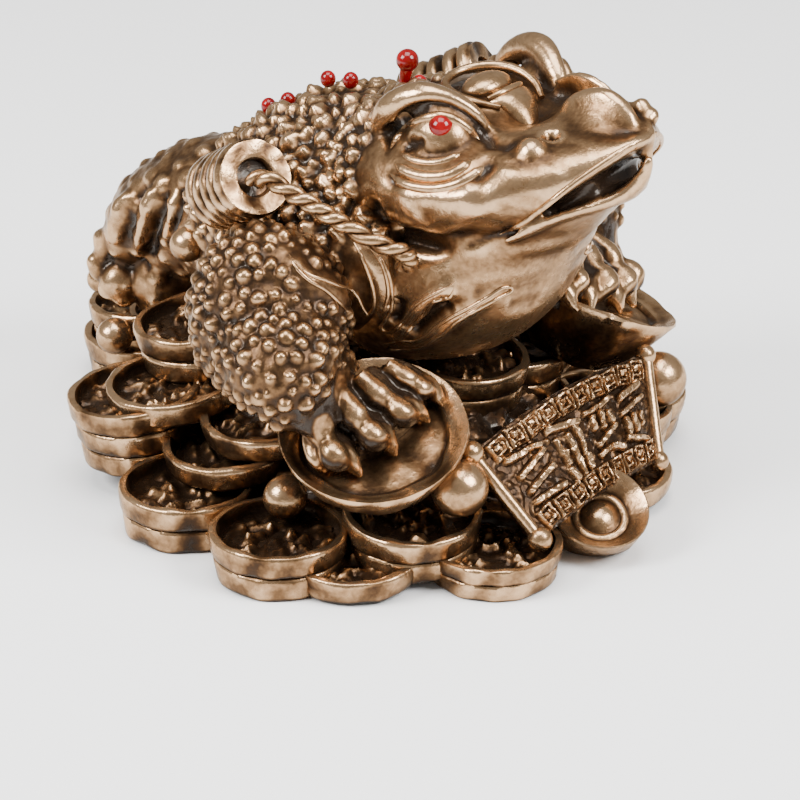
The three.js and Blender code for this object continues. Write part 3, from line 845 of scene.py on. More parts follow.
def inside_mouth(x, y, z):
    rise = np.degrees(np.arctan2(z - MOUTH_HINGE[1], MOUTH_HINGE[0] - y))
    lip = np.interp(-y, [-row[1] for row in LOWER_LIP], [-row[0] for row in LOWER_LIP])
    return (y < -30) & (rise > LOWER_LIP_RISE - 3) & (rise < UPPER_LIP_RISE - 2.2) & (np.abs(x) < lip - 0.5)


def head():
    obj = head_solid()
    skin = Skin(obj)
    skin.draw(HEAD_SWELLS + HEAD_FOLDS + THROAT_LINES)
    skin.refresh()
    # A hollow in the snout, in front of the crest.
    skin.swell((-0.6, -26.0, 57.2), (5.0, 2.6, 4), -2.0, mirror=False)
    skin.refresh()
    skin.relax(8, (skin.co[:, 1] < -8) & (skin.co[:, 2] > 36))
    skin.draw(EYE_LINES + CHEST_LINES + STRAP_LINES)
    press_nostrils(skin)
    skin.refresh()
    neck = (skin.co[:, 1] > -9.5) & (skin.co[:, 2] > 40)
    skin.warts(neck, 2.1, 1.2, 0.95, seed=21)
    skin.roughen(neck, 0.12, 1.8, seed=5)
    skin.relax(1)
    x, y, z = skin.co.T
    mouth = inside_mouth(x, y, z)
    pouch = (y < -14) & (z < 48) & ~mouth
    boss_x, boss_y, boss_half_width, boss_half_length = BOSS_RING
    ring = (((x - boss_x) / boss_half_width) ** 2 + ((y - boss_y) / boss_half_length) ** 2 < 1) & (z > 55)
    # A painted highlight: the wash is lightened about the top of the snout.
    top = skin.seen(*SNOUT_HIGHLIGHT) * (0, 1, 1)
    painted_highlight = np.exp(-(np.linalg.norm((skin.co - top) / (6, 4.5, 3), axis=1)) ** 2)
    skin.finish(0.8 * mouth - 0.1 * pouch + 0.45 * ring - 0.4 * painted_highlight)
    smooth = [Skin(obj)]
    edges = [part for width, pixels in LIDS for part in seams(smooth, pixels, width, sink=0.45)]
    return join("toad_head", [obj] + crest() + edges)


# The hindquarters, in the same form as the head's lines.
RUMP_LINES = [
    (1.0, -1.0, [(146, 180), (136, 204), (130, 228), (127, 244)]),
    (1.1, 1.0, [(154, 186), (150, 208), (141, 234), (136, 252)]),
    (1.0, -1.3, [(164, 188), (161, 214), (151, 244), (147, 258)]),
    (1.3, 0.7, [(130, 190), (120, 212), (112, 232)]),
    (0.7, -0.6, [(122, 204), (116, 222), (112, 240)]),
    (0.9, 0.7, [(174, 200), (170, 220), (163, 240)]),
    (0.8, -0.8, [(184, 186), (180, 206), (172, 232)]),
]
RUMP_KNOBS = [(-7.6, 40.0, 29.5), (-6.2, 44.0, 23.0), (-3.0, 45.0, 24.5), (-8.0, 41.5, 24.0)]
# The body and the hind leg, from front to back or back to front: middles, half-widths and
# half-heights.
BODY = [
    (0, 38, 23, 6, 6), (0, 30, 27, 8, 8), (0, 20, 30, 14, 12), (0, 8, 34, 20.5, 16),
    (0, -6, 37, 21.5, 16.2), (0, -15, 39, 17, 14),
]
HIND_LEG = [
    (0, 20, 33, 9, 8), (0, 29, 31.5, 9.4, 8.2), (0, 36.5, 28.2, 8.8, 7), (0, 40.8, 24.4, 7.8, 5.6),
    (0, 42.4, 20.0, 6.4, 3.6),
]
# The heel and the ball of the hind foot: place and half-lengths.
HIND_FOOT = [((0.4, 38.4, 17), (6.2, 5.6, 6.0)), ((-3.8, 42.6, 16.6), (4.2, 3.2, 3.6))]
# Hind toes: how far aside each one starts, the height of its tip and its half-width.
HIND_TOES = [(-4.6, 16.2, 1.9), (-1.8, 15.0, 2.0), (1.2, 14.8, 2.0), (4.0, 15.4, 1.9)]


def hind_toe(aside, low, width):
    return tube([
        (aside, 41.4, 25, width * 0.9),
        (aside * 1.1, 43.8, 22.6, width),
        (aside * 1.2, 45.0, 20.0, width * 0.85),
        (aside * 1.25, 45.6, (low + 20) / 2, width),
        (aside * 1.25, 45.4, low, width * 0.6),
    ], sides=16, count=24)


def trunk():
    parts = [loft(BODY, sides=48, rings=40), loft(HIND_LEG, sides=60, rings=36)]
    parts += [ellipsoid(place, halves) for place, halves in HIND_FOOT]
    parts += [hind_toe(*toe) for toe in HIND_TOES]
    obj = fuse("toad_trunk", parts, TRUNK_GRAIN, relax=3)
    skin = Skin(obj)
    for knob in RUMP_KNOBS:
        skin.swell(skin.nearest(knob), (1.6, 1.6, 1.8), 0.7)
    skin.draw(STRAP_LINES + RUMP_LINES)
    skin.refresh()
    x, y, z = skin.co.T
    armpit = (y < -9.5) & (z < 42.5)
    back = (z > 34) & (y < 24) & (np.abs(x) > 1.4) & ~armpit
    flank = ~back & ~armpit
    skin.warts(back, 2.2, 1.3, 1.1, seed=3)
    skin.warts(back, 1.5, 0.8, 0.5, seed=4, sink=0)
    skin.roughen(back, 0.12, 2.2, seed=6)
    skin.warts(flank, 3.6, 1.3, 0.45, seed=14, sink=0)
    skin.roughen(flank, 0.1, 3.4, seed=7)
    skin.relax(2)
    skin.finish(fine=0.14, middle=0.5)
    return obj


def dish_frame(side):
    """Middle of a dish's rim, and the directions outwards, ahead and up from it."""
    axis = Vector((side * DISH_LEAN[0], DISH_LEAN[1], 1)).normalized()
    outwards = (Vector((side, 0, 0)) - side * axis.x * axis).normalized()
    ahead = Vector((0, -1, 0)) + axis.y * axis
    ahead = (ahead - ahead.dot(outwards) * outwards).normalized()
    x, y, z = DISH_PLACES[side]
    return Vector((side * x, y, z)), outwards, ahead, axis


def on_dish(side, across, ahead, above):
    """A place given by its distances outwards, ahead and up from the middle of a dish's rim."""
    middle, *ways = dish_frame(side)
    across, ahead = across * FOOT_SPREAD[side], ahead * FOOT_SPREAD[side]
    return middle + sum((float(d) * way for d, way in zip((across, ahead, above), ways)), Vector())


def dish_place(px, py, above):
    """Distances outwards, ahead and up, from the middle of the near dish's rim, of what is seen at
    a pixel and at a height over the rim."""
    middle, outwards, ahead, axis = dish_frame(-1)
    start, direction = ray_through(px, py)
    hit = start + direction * ((above - (start - middle).dot(axis)) / direction.dot(axis))
    return (hit - middle).dot(outwards), (hit - middle).dot(ahead), above


# The near front foot: crests and valleys by turns, each from the wrist to the edge of the web, as
# pixels and heights over the dish's rim.
FOOT_LINES = [
    [(300, 412, 1.0), (302, 424, 0.3), (306, 440, -0.5), (311, 455, -1.2), (318, 467, -1.8)],
    [(305, 416, 3.0), (308, 431, 2.6), (312, 446, 2.2), (317, 458, 1.4), (325, 467, -0.6)],
    [(306, 412, 3.6), (313, 430, 2.0), (319, 443, 1.0), (325, 455, 0.4), (332, 465, -0.8)],
    [(307, 400, 6.0), (318, 420, 5.2), (326, 434, 3.8), (333, 447, 3.7), (346, 457, 0.8)],
    [(322, 392, 5.0), (337, 413, 2.4), (350, 431, 1.0), (358, 441, 0.5), (364, 448, 0.1)],
    [(336, 384, 6.6), (353, 406, 5.8), (361, 416, 4.3), (372, 427, 4.1), (384, 436, 1.0)],
    [(346, 376, 5.2), (363, 394, 2.6), (380, 409, 1.1), (391, 419, 0.6), (399, 427, 0.1)],
    [(358, 369, 6.4), (375, 385, 5.6), (388, 395, 4.3), (401, 405, 4.0), (412, 411, 1.0)],
    [(376, 363, 4.6), (395, 378, 2.4), (409, 390, 1.1), (418, 396, 0.5), (425, 400, 0.1)],
    [(386, 359, 5.4), (404, 370, 4.8), (414, 376, 3.7), (422, 382, 3.3), (430, 387, 0.8)],
    [(398, 358, 3.0), (414, 366, 1.4), (424, 371, 0.6), (431, 376, 0.0), (437, 382, -0.8)],
]
# Its claws, in the same form with half-widths.
CLAWS = [
    [(316, 458, 0.2, 1.3), (322, 466, -0.8, 1.0), (330, 470, -1.8, 0.35)],
    [(340, 450, 1.0, 1.8), (350, 461, 0.1, 1.4), (361, 477, -1.6, 0.35)],
    [(376, 428, 1.2, 1.8), (387, 440, 0.2, 1.4), (397, 456, -1.6, 0.35)],
    [(404, 404, 1.2, 1.7), (417, 411, 0.2, 1.3), (430, 422, -1.5, 0.35)],
    [(423, 383, 0.8, 1.5), (434, 392, 0.0, 1.2), (444, 407, -1.5, 0.35)],
]
# Half-widths of a toe from the wrist to the web, by the number of its crest, outwards to inwards.
TOE_WIDTHS = [
    (0.7, 0.9, 1.1, 0.9, 0.6), (1.2, 1.8, 1.5, 1.85, 1.15), (1.3, 1.85, 1.5, 1.85, 1.15),
    (1.2, 1.75, 1.5, 1.75, 1.15), (1.0, 1.4, 1.2, 1.4, 0.95),
]
# How far the web lies below its lines, how many places of a valley its gully runs through, and
# the depth of the foot's underside below the rim.
WEB_SINK = 0.8
GULLY_REACH = 4
FOOT_FLOOR = -2.6


def web(side):
    """The back of the foot: a sheet over the crests and valleys, closed down to the dish."""
    rows, steps = 16, 80
    lines = np.array([smooth_path([dish_place(*place) for place in line], rows + 1) for line in FOOT_LINES])
    lines[:, :, 2] -= WEB_SINK
    share = np.linspace(0, len(FOOT_LINES) - 1 - 1e-9, steps + 1)
    left = share.astype(int)
    part = share - left
    climb = np.where(left % 2 == 0, np.sqrt(1 - (1 - part) ** 2), 1 - np.sqrt(1 - part ** 2))
    blend = np.stack([part, part, climb], 1)[None]
    across = lines.transpose(1, 0, 2)
    sheet = (across[:, left] * (1 - blend) + across[:, left + 1] * blend).reshape(-1, 3)
    points = [on_dish(side, *place) for place in sheet]
    points += [on_dish(side, x, y, FOOT_FLOOR) for x, y, _ in sheet]
    wide = steps + 1
    lower = (rows + 1) * wide
    faces = []
    for quad in sheet_faces(rows + 1, wide):
        faces.append(quad)
        faces.append(tuple(k + lower for k in quad[::-1]))
    edge = list(range(steps)) + [i * wide + steps for i in range(rows)]
    edge += [rows * wide + j for j in range(steps, 0, -1)] + [i * wide for i in range(rows, 0, -1)]
    faces += [(b, a, a + lower, b + lower) for a, b in zip(edge, edge[1:] + edge[:1])]
    obj = mesh_object("web", points, faces)
    face_outwards(obj)
    return obj


def toes_and_claws(side):
    """Toes with their backs along the crests, and the claws beyond the web."""
    parts = []
    for line, widths in zip(FOOT_LINES[1::2], TOE_WIDTHS):
        rows = []
        for place, width in zip(line, widths):
            across, ahead, above = dish_place(*place)
            rows.append((*on_dish(side, across, ahead, above - width), width))
        parts.append(tube(rows, sides=20, count=40))
    for claw in CLAWS:
        rows = [(*on_dish(side, *dish_place(*place)), width) for *place, width in claw]
        parts.append(tube(rows, sides=16, count=20))
    return parts


def wrist(side):
    """The lower leg, from inside the knee to the web."""
    x, y, z = KNEE
    stations = [(side * (x + 0.6), y - 1, z - 3, 8.8, 9)]
    for place, size in (((3.4, -10.5, 8.4), (8.2, 7.4)), ((2.4, -7.2, 5.4), (7.4, 4.2)),
                        ((1.2, -4.6, 2.8), (6.6, 2.4))):
        stations.append((*on_dish(side, *place), *size))
    return loft(stations, sides=40, rings=24)


def foreleg(side):
    x, y, z = KNEE
    knee = ellipsoid((side * x, y, z), (9.9, 10.5, 11.8), segments=48)
    parts = [knee, wrist(side), web(side)] + toes_and_claws(side)
    obj = fuse("toad_foreleg", parts, FORELEG_GRAIN[side], relax=2)
    skin = Skin(obj)
    from_band = np.full(len(skin.co), 99.0)
    if side < 0:
        for _, _, pixels in KNEE_LINES:
            from_band = np.minimum(from_band, skin.distance_to(skin.trace(pixels))[0])
        skin.draw(KNEE_LINES, mirror=False)
        skin.refresh()
    middle, _, ahead, axis = (np.array(part) for part in dish_frame(side))
    reach = (skin.co - middle) @ ahead
    over = (skin.co - middle) @ axis
    foot = (reach > -7.4 + 0.3 * over) & (over < 9)
    gullies = []
    for valley in FOOT_LINES[2:-1:2]:
        path = smooth_path(valley[:GULLY_REACH], 20)
        gullies.append([on_dish(side, *dish_place(px, py, above - WEB_SINK)) for px, py, above in path])
    skin.strokes(gullies, 0.8, -1.3, mirror=False)
    skin.refresh()
    warty = ~foot & (from_band > 1.9)
    skin.warts(warty, 1.85, 0.92, 0.66, seed=11 + side, sink=0.05)
    skin.roughen(warty, 0.08, 2.4, seed=8)
    skin.roughen(foot, 0.03, 1.6, seed=9)
    skin.relax(1)
    crests = []
    for line in FOOT_LINES[1::2] + [[place[:3] for place in claw] for claw in CLAWS]:
        crests.append([on_dish(side, *dish_place(*place)) for place in smooth_path(line, 24)])
    from_gully = np.min([skin.distance_to(gully)[0] for gully in gullies], axis=0)
    from_crest = np.min([skin.distance_to(crest)[0] for crest in crests], axis=0)
    past_wrist = np.clip((reach + 5.5) / 2.5, 0, 1)
    dark = np.maximum(np.exp(-(from_gully / 1.2) ** 4), np.clip((from_crest - 1.3) / 0.8, 0, 1) * past_wrist)
    # Painted shade: away from the foot, the leg is darker where its surface faces down, away from the light
    # above.
    painted_underside_shade = np.clip(-(skin.normal @ np.array([0.6 * side, 0.3, 0.74])), 0, 1)
    skin.finish(np.where(foot, 1.1 * dark - 0.08, 0.1 + 0.16 * painted_underside_shade), fine=0.2, middle=0.5, broad=1.2)
    return obj


# The heap

def tipped(axis):
    """The turn that takes straight up to an axis."""
    return Vector((0, 0, 1)).rotation_difference(Vector(axis)).to_matrix()


def turned(profile, sides, place, axis=(0, 0, 1)):
    """A solid of revolution. Each row of the profile is radius, height and wash, bottom to top."""
    tip = tipped(axis)
    points, wash = [], []
    for radius, height, dark in profile:
        for j in range(sides):
            turn = 2 * math.pi * j / sides
            out = Vector((radius * math.cos(turn), radius * math.sin(turn), height))
            points.append(Vector(place) + tip @ out)
            wash.append(dark)
    obj = mesh_object("turned", points, ring_faces(len(profile), sides))
    set_wash_and_shading(obj, wash)
    return obj


def gap_to_line(u, v, points):
    """Distance from every (u, v) to a line through the points."""
    best = np.full(u.shape, 99.0)
    for (au, av), (bu, bv) in zip(points[:-1], points[1:]):
        du, dv = bu - au, bv - av
        t = np.clip(((u - au) * du + (v - av) * dv) / (du * du + dv * dv), 0, 1)
        best = np.minimum(best, np.hypot(u - au - t * du, v - av - t * dv))
    return best


# Grid of a coin's sunken face, in millimetres, and its depth below the rim.
FACE_GRID = 0.28
FACE_DEPTH = 1.85


def coin_strokes(u, v, radius, rng):
    """Height of the short raised strokes in four groups, on rough ground."""
    lift = np.zeros(len(u))
    spin = rng.uniform(0, math.pi)
    for quarter in range(4):
        turn = spin + quarter * math.pi / 2
        for _ in range(6):
            start = np.array([math.cos(turn), math.sin(turn)]) * radius * 0.55
            start += rng.normal(0, radius * 0.2, 2)
            way = rng.normal(0, 1, 2)
            way *= rng.uniform(0.8, 2.4) / np.linalg.norm(way)
            gap = gap_to_line(u, v, [start, start + way])
            lift = np.maximum(lift, rng.uniform(0.4, 0.9) * np.exp(-(gap / rng.uniform(0.35, 0.6)) ** 2))
    for _ in range(14):
        a, b, c = rng.uniform(-2.6, 2.6, 3)
        lift += np.sin(u * a + v * b + 3 * c) * 0.08
    return lift


def coin_face(place, axis, radius, seed):
    steps = np.arange(-radius, radius + 0.01, FACE_GRID)
    u, v = (grid.ravel() for grid in np.meshgrid(steps, steps))
    lift = coin_strokes(u, v, radius, np.random.default_rng(seed))
    inside = np.hypot(u, v) < radius - 0.1
    points = np.stack([u, v, lift], 1)[inside] @ np.array(tipped(axis)).T + np.array(place)
    number = np.full(len(u), -1)
    number[inside] = np.arange(inside.sum())
    quads = number[np.array(sheet_faces(len(steps), len(steps)))]
    obj = mesh_object("face", points, quads[(quads >= 0).all(1)].tolist())
    set_wash_and_shading(obj, np.clip(0.8 - 0.9 * np.clip(lift[inside] - 0.12, 0, 1), 0.28, 1))
    return obj


# The edge of one coin in a pile, from its foot to its top: share of the thickness, inset and
# wash. Then the rim and the wall of the top coin's face: distance in from the edge, height and wash.
COIN_EDGE = [
    (0.0, 0.8, 1.0), (0.08, 0.4, 0.8), (0.2, 0.22, 0.45), (0.5, 0.1, 0.38), (0.8, 0.0, 0.3), (0.96, 0.1, 0.1),
]
COIN_TOP = [
    (0.3, 0.0, 0.05), (COIN_RIM - 0.1, -0.02, 0.1), (COIN_RIM, -0.25, 0.45), (COIN_RIM + 0.15, -0.9, 0.7),
    (COIN_RIM + 0.3, -1.7, 0.95), (COIN_RIM + 0.7, -2.0, 1.0), (COIN_RADIUS - 0.5, -2.0, 1.0),
]


def coin_pile(angle, reach, top, coins, seed):
    """Coins on one another and the face of the top one. A pile that ends near the ground reaches
    it and stands upright; any other leans outwards a little."""
    lowest = top - coins * COIN_THICKNESS
    grounded = lowest < 1
    foot = 0.0 if grounded else lowest
    thickness = (top - foot) / coins
    profile = []
    for coin in range(coins):
        radius = COIN_RADIUS - 0.5 * (coins - 1 - coin)
        low = foot - top + coin * thickness
        profile += [(radius - inset, low + share * thickness, dark) for share, inset, dark in COIN_EDGE]
    profile += [(COIN_RADIUS - inset, height, dark) for inset, height, dark in COIN_TOP]
    lean = 0.0 if grounded else 0.1
    out = (math.cos(math.radians(angle)), math.sin(math.radians(angle)))
    axis = (out[0] * lean, out[1] * lean, 1)
    place = Vector((out[0] * reach, out[1] * reach, top))
    pile = weather(turned(profile, 72, place, axis), 0.08, 4.5, seed, stain=0.16)
    face_place = place - Vector(axis).normalized() * FACE_DEPTH
    return [pile, coin_face(face_place, axis, COIN_RADIUS - COIN_RIM - 0.35, seed)]


# Angle in degrees, reach, height of the top face and number of coins; the first list is on both
# sides.
SIDE_PILES = [
    (168, 32.3, 6.6, 2), (198, 35.6, 6.6, 2), (214, 34.6, 4.4, 1), (227, 31.6, 8.4, 2),
    (171, 19.6, 13.6, 1), (165, 24.2, 10.0, 1), (139, 33.2, 13.4, 3), (141, 28.2, 14.9, 1),
    (122, 24.4, 20.0, 2),
]
SINGLE_PILES = [
    (243, 36.4, 4.8, 2), (289, 32.4, 5.0, 1), (84, 37.5, 11.5, 2), (87, 43.6, 11.6, 2), (88, 43.8, 6.6, 2),
    (117, 33.0, 7.0, 1), (62, 35.0, 7.0, 1), (286, 12.4, 18.4, 3), (331, 18.5, 14.5, 2), (322, 34.6, 8.0, 2),
]


def heap():
    piles = SIDE_PILES + [(180 - angle, *rest) for angle, *rest in SIDE_PILES] + SINGLE_PILES
    parts = []
    for number, pile in enumerate(piles):
        parts += coin_pile(*pile, seed=100 + number)
    return join("coins", parts)


# Radius, height and wash of the filling, from the ground up, before it is roughened.
CORE_PROFILE = [
    (30.5, 0, 1), (30, 1.6, 1), (27.5, 3.6, 1), (24, 7, 1), (20, 12, 1), (15.5, 16, 1), (10, 19, 1),
    (0.5, 20.5, 1),
]


def heap_core():
    """The dark rough filling between the coins, longer than it is wide."""
    core = turned(smooth_path(CORE_PROFILE, 90), 160, (0, 0, 0))
    rng = np.random.default_rng(40)
    places = points_of(core)
    lift = np.zeros(len(places))
    for _ in range(12):
        way = rng.normal(0, 1.5, 3)
        lift += np.sin(places @ way + rng.uniform(0, 6.28))
    places += (places * (1, 1, 0.6) / 22) * (0.22 * lift)[:, None]
    places[:, 2] = np.maximum(places[:, 2], 0.02)
    move_points(core, places * (1.0, 1.16, 1) + (0, 3.4, 0))
    set_wash_and_shading(core, np.clip(0.9 - 0.09 * lift, 0.55, 1))
    return core


def dish(side):
    """A bowl under a front foot, with a stepped rim."""
    r = DISH_RADIUS
    profile = [
        (r * 0.45, -10, 0.9), (r * 0.62, -8, 0.8), (r * 0.8, -5, 0.6), (r * 0.94, -2, 0.4), (r, -0.4, 0.1),
        (r - 0.15, 0, 0.0), (r - 0.45, -0.1, 0.1), (r - 1.5, -0.8, 0.4), (r - 2.2, -1.1, 0.1),
        (r - 2.5, -1.3, 0.4), (r - 2.9, -1.9, 0.85), (r - 3.4, -1.95, 0.5), (r - 4.4, -2.0, 0.3),
        (0.5, -2.2, 0.42),
    ]
    axis = (side * DISH_LEAN[0], DISH_LEAN[1], 1)
    return weather(turned(profile, 96, on_dish(side, 0, 0, 0), axis), 0.1, 5, 50 + side)


# Middles and radii of the pearls; the first two are on both sides.
SIDE_PEARLS = [(29.6, -8.6, 8.4, 2.9), (15, 20.6, 31.2, 2.4)]
SINGLE_PEARLS = [
    (-20.6, -30, 13, 3.7), (25.0, -28.9, 11.4, 3.8), (-8.2, 41, 9.6, 2.6), (-4.4, 46.9, 15.4, 2.0),
]


def pearls():
    balls = []
    for x, y, z, r in mirrored(SIDE_PEARLS, -1) + SIDE_PEARLS + SINGLE_PEARLS:
        ball = ellipsoid((x, y, z), (r, r, r), segments=40)
        # Painted shade: each pearl is darker below its middle and lighter on top.
        height = points_of(ball)[:, 2] - z
        set_wash_and_shading(ball, np.clip(0.25 - 0.45 * height / r, 0.05, 0.8))
        balls.append(ball)
    return join("pearls", balls)


INGOT_RADIUS = 6.3
INGOT_PLACE = (-3.4, -39.9, 6.2)
INGOT_AXIS = (-0.36, -0.36, 0.86)


def ingot():
    """A boat-shaped ingot with two raised ears and a dome in rings between them."""
    r = INGOT_RADIUS
    boat = turned([
        (r * 0.62, -8.6, 0.6), (r * 0.78, -6, 0.45), (r * 0.93, -1.8, 0.3), (r * 0.985, -0.5, 0.15),
        (r, -0.1, 0.0), (r * 0.97, 0.1, 0.05), (r * 0.86, -0.3, 0.2), (r * 0.74, -0.9, 0.3),
        (r * 0.66, -1.25, 0.4), (r * 0.6, -1.5, 0.75), (r * 0.54, -1.35, 0.2), (r * 0.48, -1.3, 0.1),
        (r * 0.42, -1.6, 0.7), (r * 0.36, -1.45, 0.5), (r * 0.26, -0.85, 0.25), (r * 0.12, -0.45, 0.1),
        (0.1, -0.4, 0.1),
    ], 72, (0, 0, 0))
    x, y, z = points_of(boat).T
    reach = np.minimum(1, (np.hypot(x, y) / r) ** 4)
    ear = np.where(z > -3, reach * np.cos(np.arctan2(y, x) - math.radians(35)) ** 2, 0)
    places = np.stack([x, y, z + 0.8 * ear], 1) @ np.array(tipped(INGOT_AXIS)).T + INGOT_PLACE
    places[:, 2] = np.maximum(places[:, 2], 0.05)
    move_points(boat, places)
    return boat


# A string of coins on a flank: middle of the front coin, the way the string faces, its coins.
STRING_FRONT = (24.2, 0.3, 48.9)
STRING_AXIS = (0.35, -0.8, 0.48)
STRING_RADIUS = 5.15
STRING_PITCH = 2.4
STRING_COINS = 5


def coin_string(side):
    r = STRING_RADIUS
    profile = [(0.5, -STRING_COINS * STRING_PITCH, 0.5)]
    for coin in range(STRING_COINS):
        low = (coin - STRING_COINS) * STRING_PITCH
        profile += [(r - 1.1, low, 1.0), (r - 0.35, low + 0.2, 0.7), (r, low + 0.6, 0.15),
                    (r, low + 1.5, 0.1), (r - 0.35, low + 1.9, 0.5), (r - 1.1, low + 2.2, 1.0)]
    profile[-1] = (r - 0.35, 0.0, 0.1)
    profile += [(r * 0.9, 0.02, 0.3), (r * 0.8, -0.02, 0.42), (r * 0.56, -0.02, 0.4), (r * 0.5, -0.1, 0.2),
                (r * 0.44, -1.2, 1.0), (0.5, -1.4, 1.0)]
    front, axis = (Vector((side * x, y, z)) for x, y, z in (STRING_FRONT, STRING_AXIS))
    return weather(turned(profile, 64, front, axis.normalized()), 0.04, 3, 60 + side, stain=0.2)


# The twisted cord, from the hole of the front coin to the jaw.
CORD_ROUTE = [
    (25.0, 0.2, 48.6), (25.2, -2.6, 49.6), (25.0, -6.2, 48.6), (24.4, -8.8, 47.6), (23.8, -11.4, 46.4),
    (23.0, -13.8, 45.3), (21.4, -17, 43.6), (19.8, -19.8, 42.5), (18.4, -20.0, 41.2), (17.0, -18.0, 39.0),
]
CORD_TWISTS = 5.5
STRAND_RADIUS = 0.74
STRAND_OFFSET = 0.52


def cord(side):
    path = smooth_path(mirrored(CORD_ROUTE, side), 120)
    forward = directions(path)
    across = np.cross(forward, [0, 0, 1.0])
    across /= np.linalg.norm(across, axis=1)[:, None]
    up = np.cross(across, forward)
    strands = []
    for phase in (0, math.pi):
        turn = (np.linspace(0, 2 * math.pi * CORD_TWISTS, len(path)) + phase)[:, None]
        line = path + STRAND_OFFSET * (across * np.cos(turn) + up * np.sin(turn))
        strands.append(tube(np.column_stack([line, np.full(len(line), STRAND_RADIUS)]), sides=14, count=180))
    rope = join("cord", strands)
    gap = np.array([np.linalg.norm(path - place, axis=1).min() for place in points_of(rope)])
    set_wash_and_shading(rope, np.clip(1.1 - 0.85 * gap / 1.1, 0.1, 1))
    return rope


# The scroll: corners, how far its middle bows, length and width along the sheet, the way its face
# looks, and the radii of the knobs at its ends.
SCROLL_CORNERS = {
    "top near": (-17.2, -29.2, 16.4), "foot near": (-14.6, -38.4, 6.0),
    "top far": (19.4, -30.4, 17.4), "foot far": (13.4, -37.2, 6.0),
}
SCROLL_BOW = 2.4
SCROLL_SIZE = (34.0, 14.0)
SCROLL_FACING = Vector((0, -0.72, 0.69))
SCROLL_KNOBS = {"near": 1.65, "far": 1.4}
# One meander square: its half-width, and the groove that winds into it.
SQUARE_HALF = 1.3
SQUARE_GROOVE = [
    (-0.82, 0.95), (0.85, 0.95), (0.85, -0.8), (-0.85, -0.8), (-0.85, 0.3), (0.25, 0.3), (0.25, -0.25),
]
# Rows of a group of strokes, and for the three kinds of row the places of its strokes, the least
# and most of their half-length, and their lean.
STROKE_ROWS = (-3.0, -1.1, 0.9, 2.9)
STROKE_COLUMNS = ((0.0,), (-1.6, 1.5), (-2.0, 0.0, 1.9))
STROKE_LENGTHS = ((2.1, 2.8), (0.9, 1.4), (0.6, 0.9))
STROKE_LEANS = (0, 0, 1.5)


def meander_edge(u, v, lift, edge, count, rng):
    """Squares side by side along one long edge of the scroll."""
    for k in range(count):
        middle = 1.6 + (k + 0.5) * (SCROLL_SIZE[0] - 3.2) / count
        turn = rng.uniform(-0.14, 0.14)
        du = (u - middle) * math.cos(turn) + (v - edge) * math.sin(turn)
        dv = (v - edge) * math.cos(turn) - (u - middle) * math.sin(turn)
        box = np.maximum(np.abs(du), np.abs(dv))
        lift = np.maximum(lift, 0.85 * np.clip((SQUARE_HALF + 0.16 - box) / 0.2, 0, 1))
        groove = 0.2 + 0.65 * np.clip((gap_to_line(du, dv, SQUARE_GROOVE) - 0.1) / 0.12, 0, 1)
        lift = np.where(box < SQUARE_HALF, np.minimum(lift, groove), lift)
    return lift


def stroke_group(u, v, lift, middle, rng):
    """One group of plain strokes in rows."""
    for row in STROKE_ROWS:
        kind = rng.integers(3)
        for column in STROKE_COLUMNS[kind]:
            slant = rng.uniform(-0.3, 0.35) + STROKE_LEANS[kind]
            length = [rng.uniform(*span) for span in STROKE_LENGTHS][kind]
            end = np.array([math.cos(slant), math.sin(slant)]) * length
            shift = rng.uniform(-0.25, 0.25)
            gap = gap_to_line(u - middle - column, v - SCROLL_SIZE[1] / 2 - row - shift, [-end, end])
            height = rng.uniform(0.7, 1.05)
            lift = np.maximum(lift, height * np.clip((rng.uniform(0.55, 0.75) - gap) / 0.35, 0, 1))
    return lift


def scroll_relief(u, v):
    """Meander squares along both long edges, and four groups of plain strokes between them."""
    rng = np.random.default_rng(12)
    lift = np.zeros(u.shape)
    for edge, count in ((1.7, 10), (SCROLL_SIZE[1] - 1.7, 9)):
        lift = meander_edge(u, v, lift, edge, count, rng)
    for group in range(4):
        lift = stroke_group(u, v, lift, 6.0 + group * 7.4, rng)
    for _ in range(16):
        a, b, c = rng.uniform(-4, 4, 3)
        lift = lift + 0.035 * np.sin(a * u + b * v + 3 * c)
    return lift


def scroll_place(u, v):
    """A place on the bowed sheet; u and v go from 0 to 1 along and down."""
    corner = {name: Vector(place) for name, place in SCROLL_CORNERS.items()}
    bow = math.sin(math.pi * u) * SCROLL_BOW
    top = corner["top near"].lerp(corner["top far"], u) + Vector((0, -0.3 * bow, bow))
    foot = corner["foot near"].lerp(corner["foot far"], u) + Vector((0, -0.5 * bow, 0.8 * bow))
    return top.lerp(foot, v)


def scroll_front():
    columns, rows = 301, 121
    u, v = np.meshgrid(np.linspace(0, 1, columns), np.linspace(0, 1, rows), indexing="ij")
    lift = scroll_relief(u * SCROLL_SIZE[0], v * SCROLL_SIZE[1]).ravel()
    points = [scroll_place(a, b) + SCROLL_FACING * float(c) for a, b, c in zip(u.ravel(), v.ravel(), lift)]
    front = mesh_object("scroll", points, sheet_faces(columns, rows))
    set_wash_and_shading(front, np.clip(0.8 - 1.0 * lift, 0.08, 1))
    return front


def scroll_back():
    columns, rows = 25, 5
    points = [scroll_place(i / (columns - 1), j / (rows - 1)) - SCROLL_FACING * 0.05
              for i in range(columns) for j in range(rows)]
    back = mesh_object("scroll_back", points, sheet_faces(columns, rows))
    solid = back.modifiers.new("thickness", "SOLIDIFY")
    solid.thickness = 2
    solid.offset = -1
    apply_modifiers(back)
    set_wash_and_shading(back, 0.75)
    return back


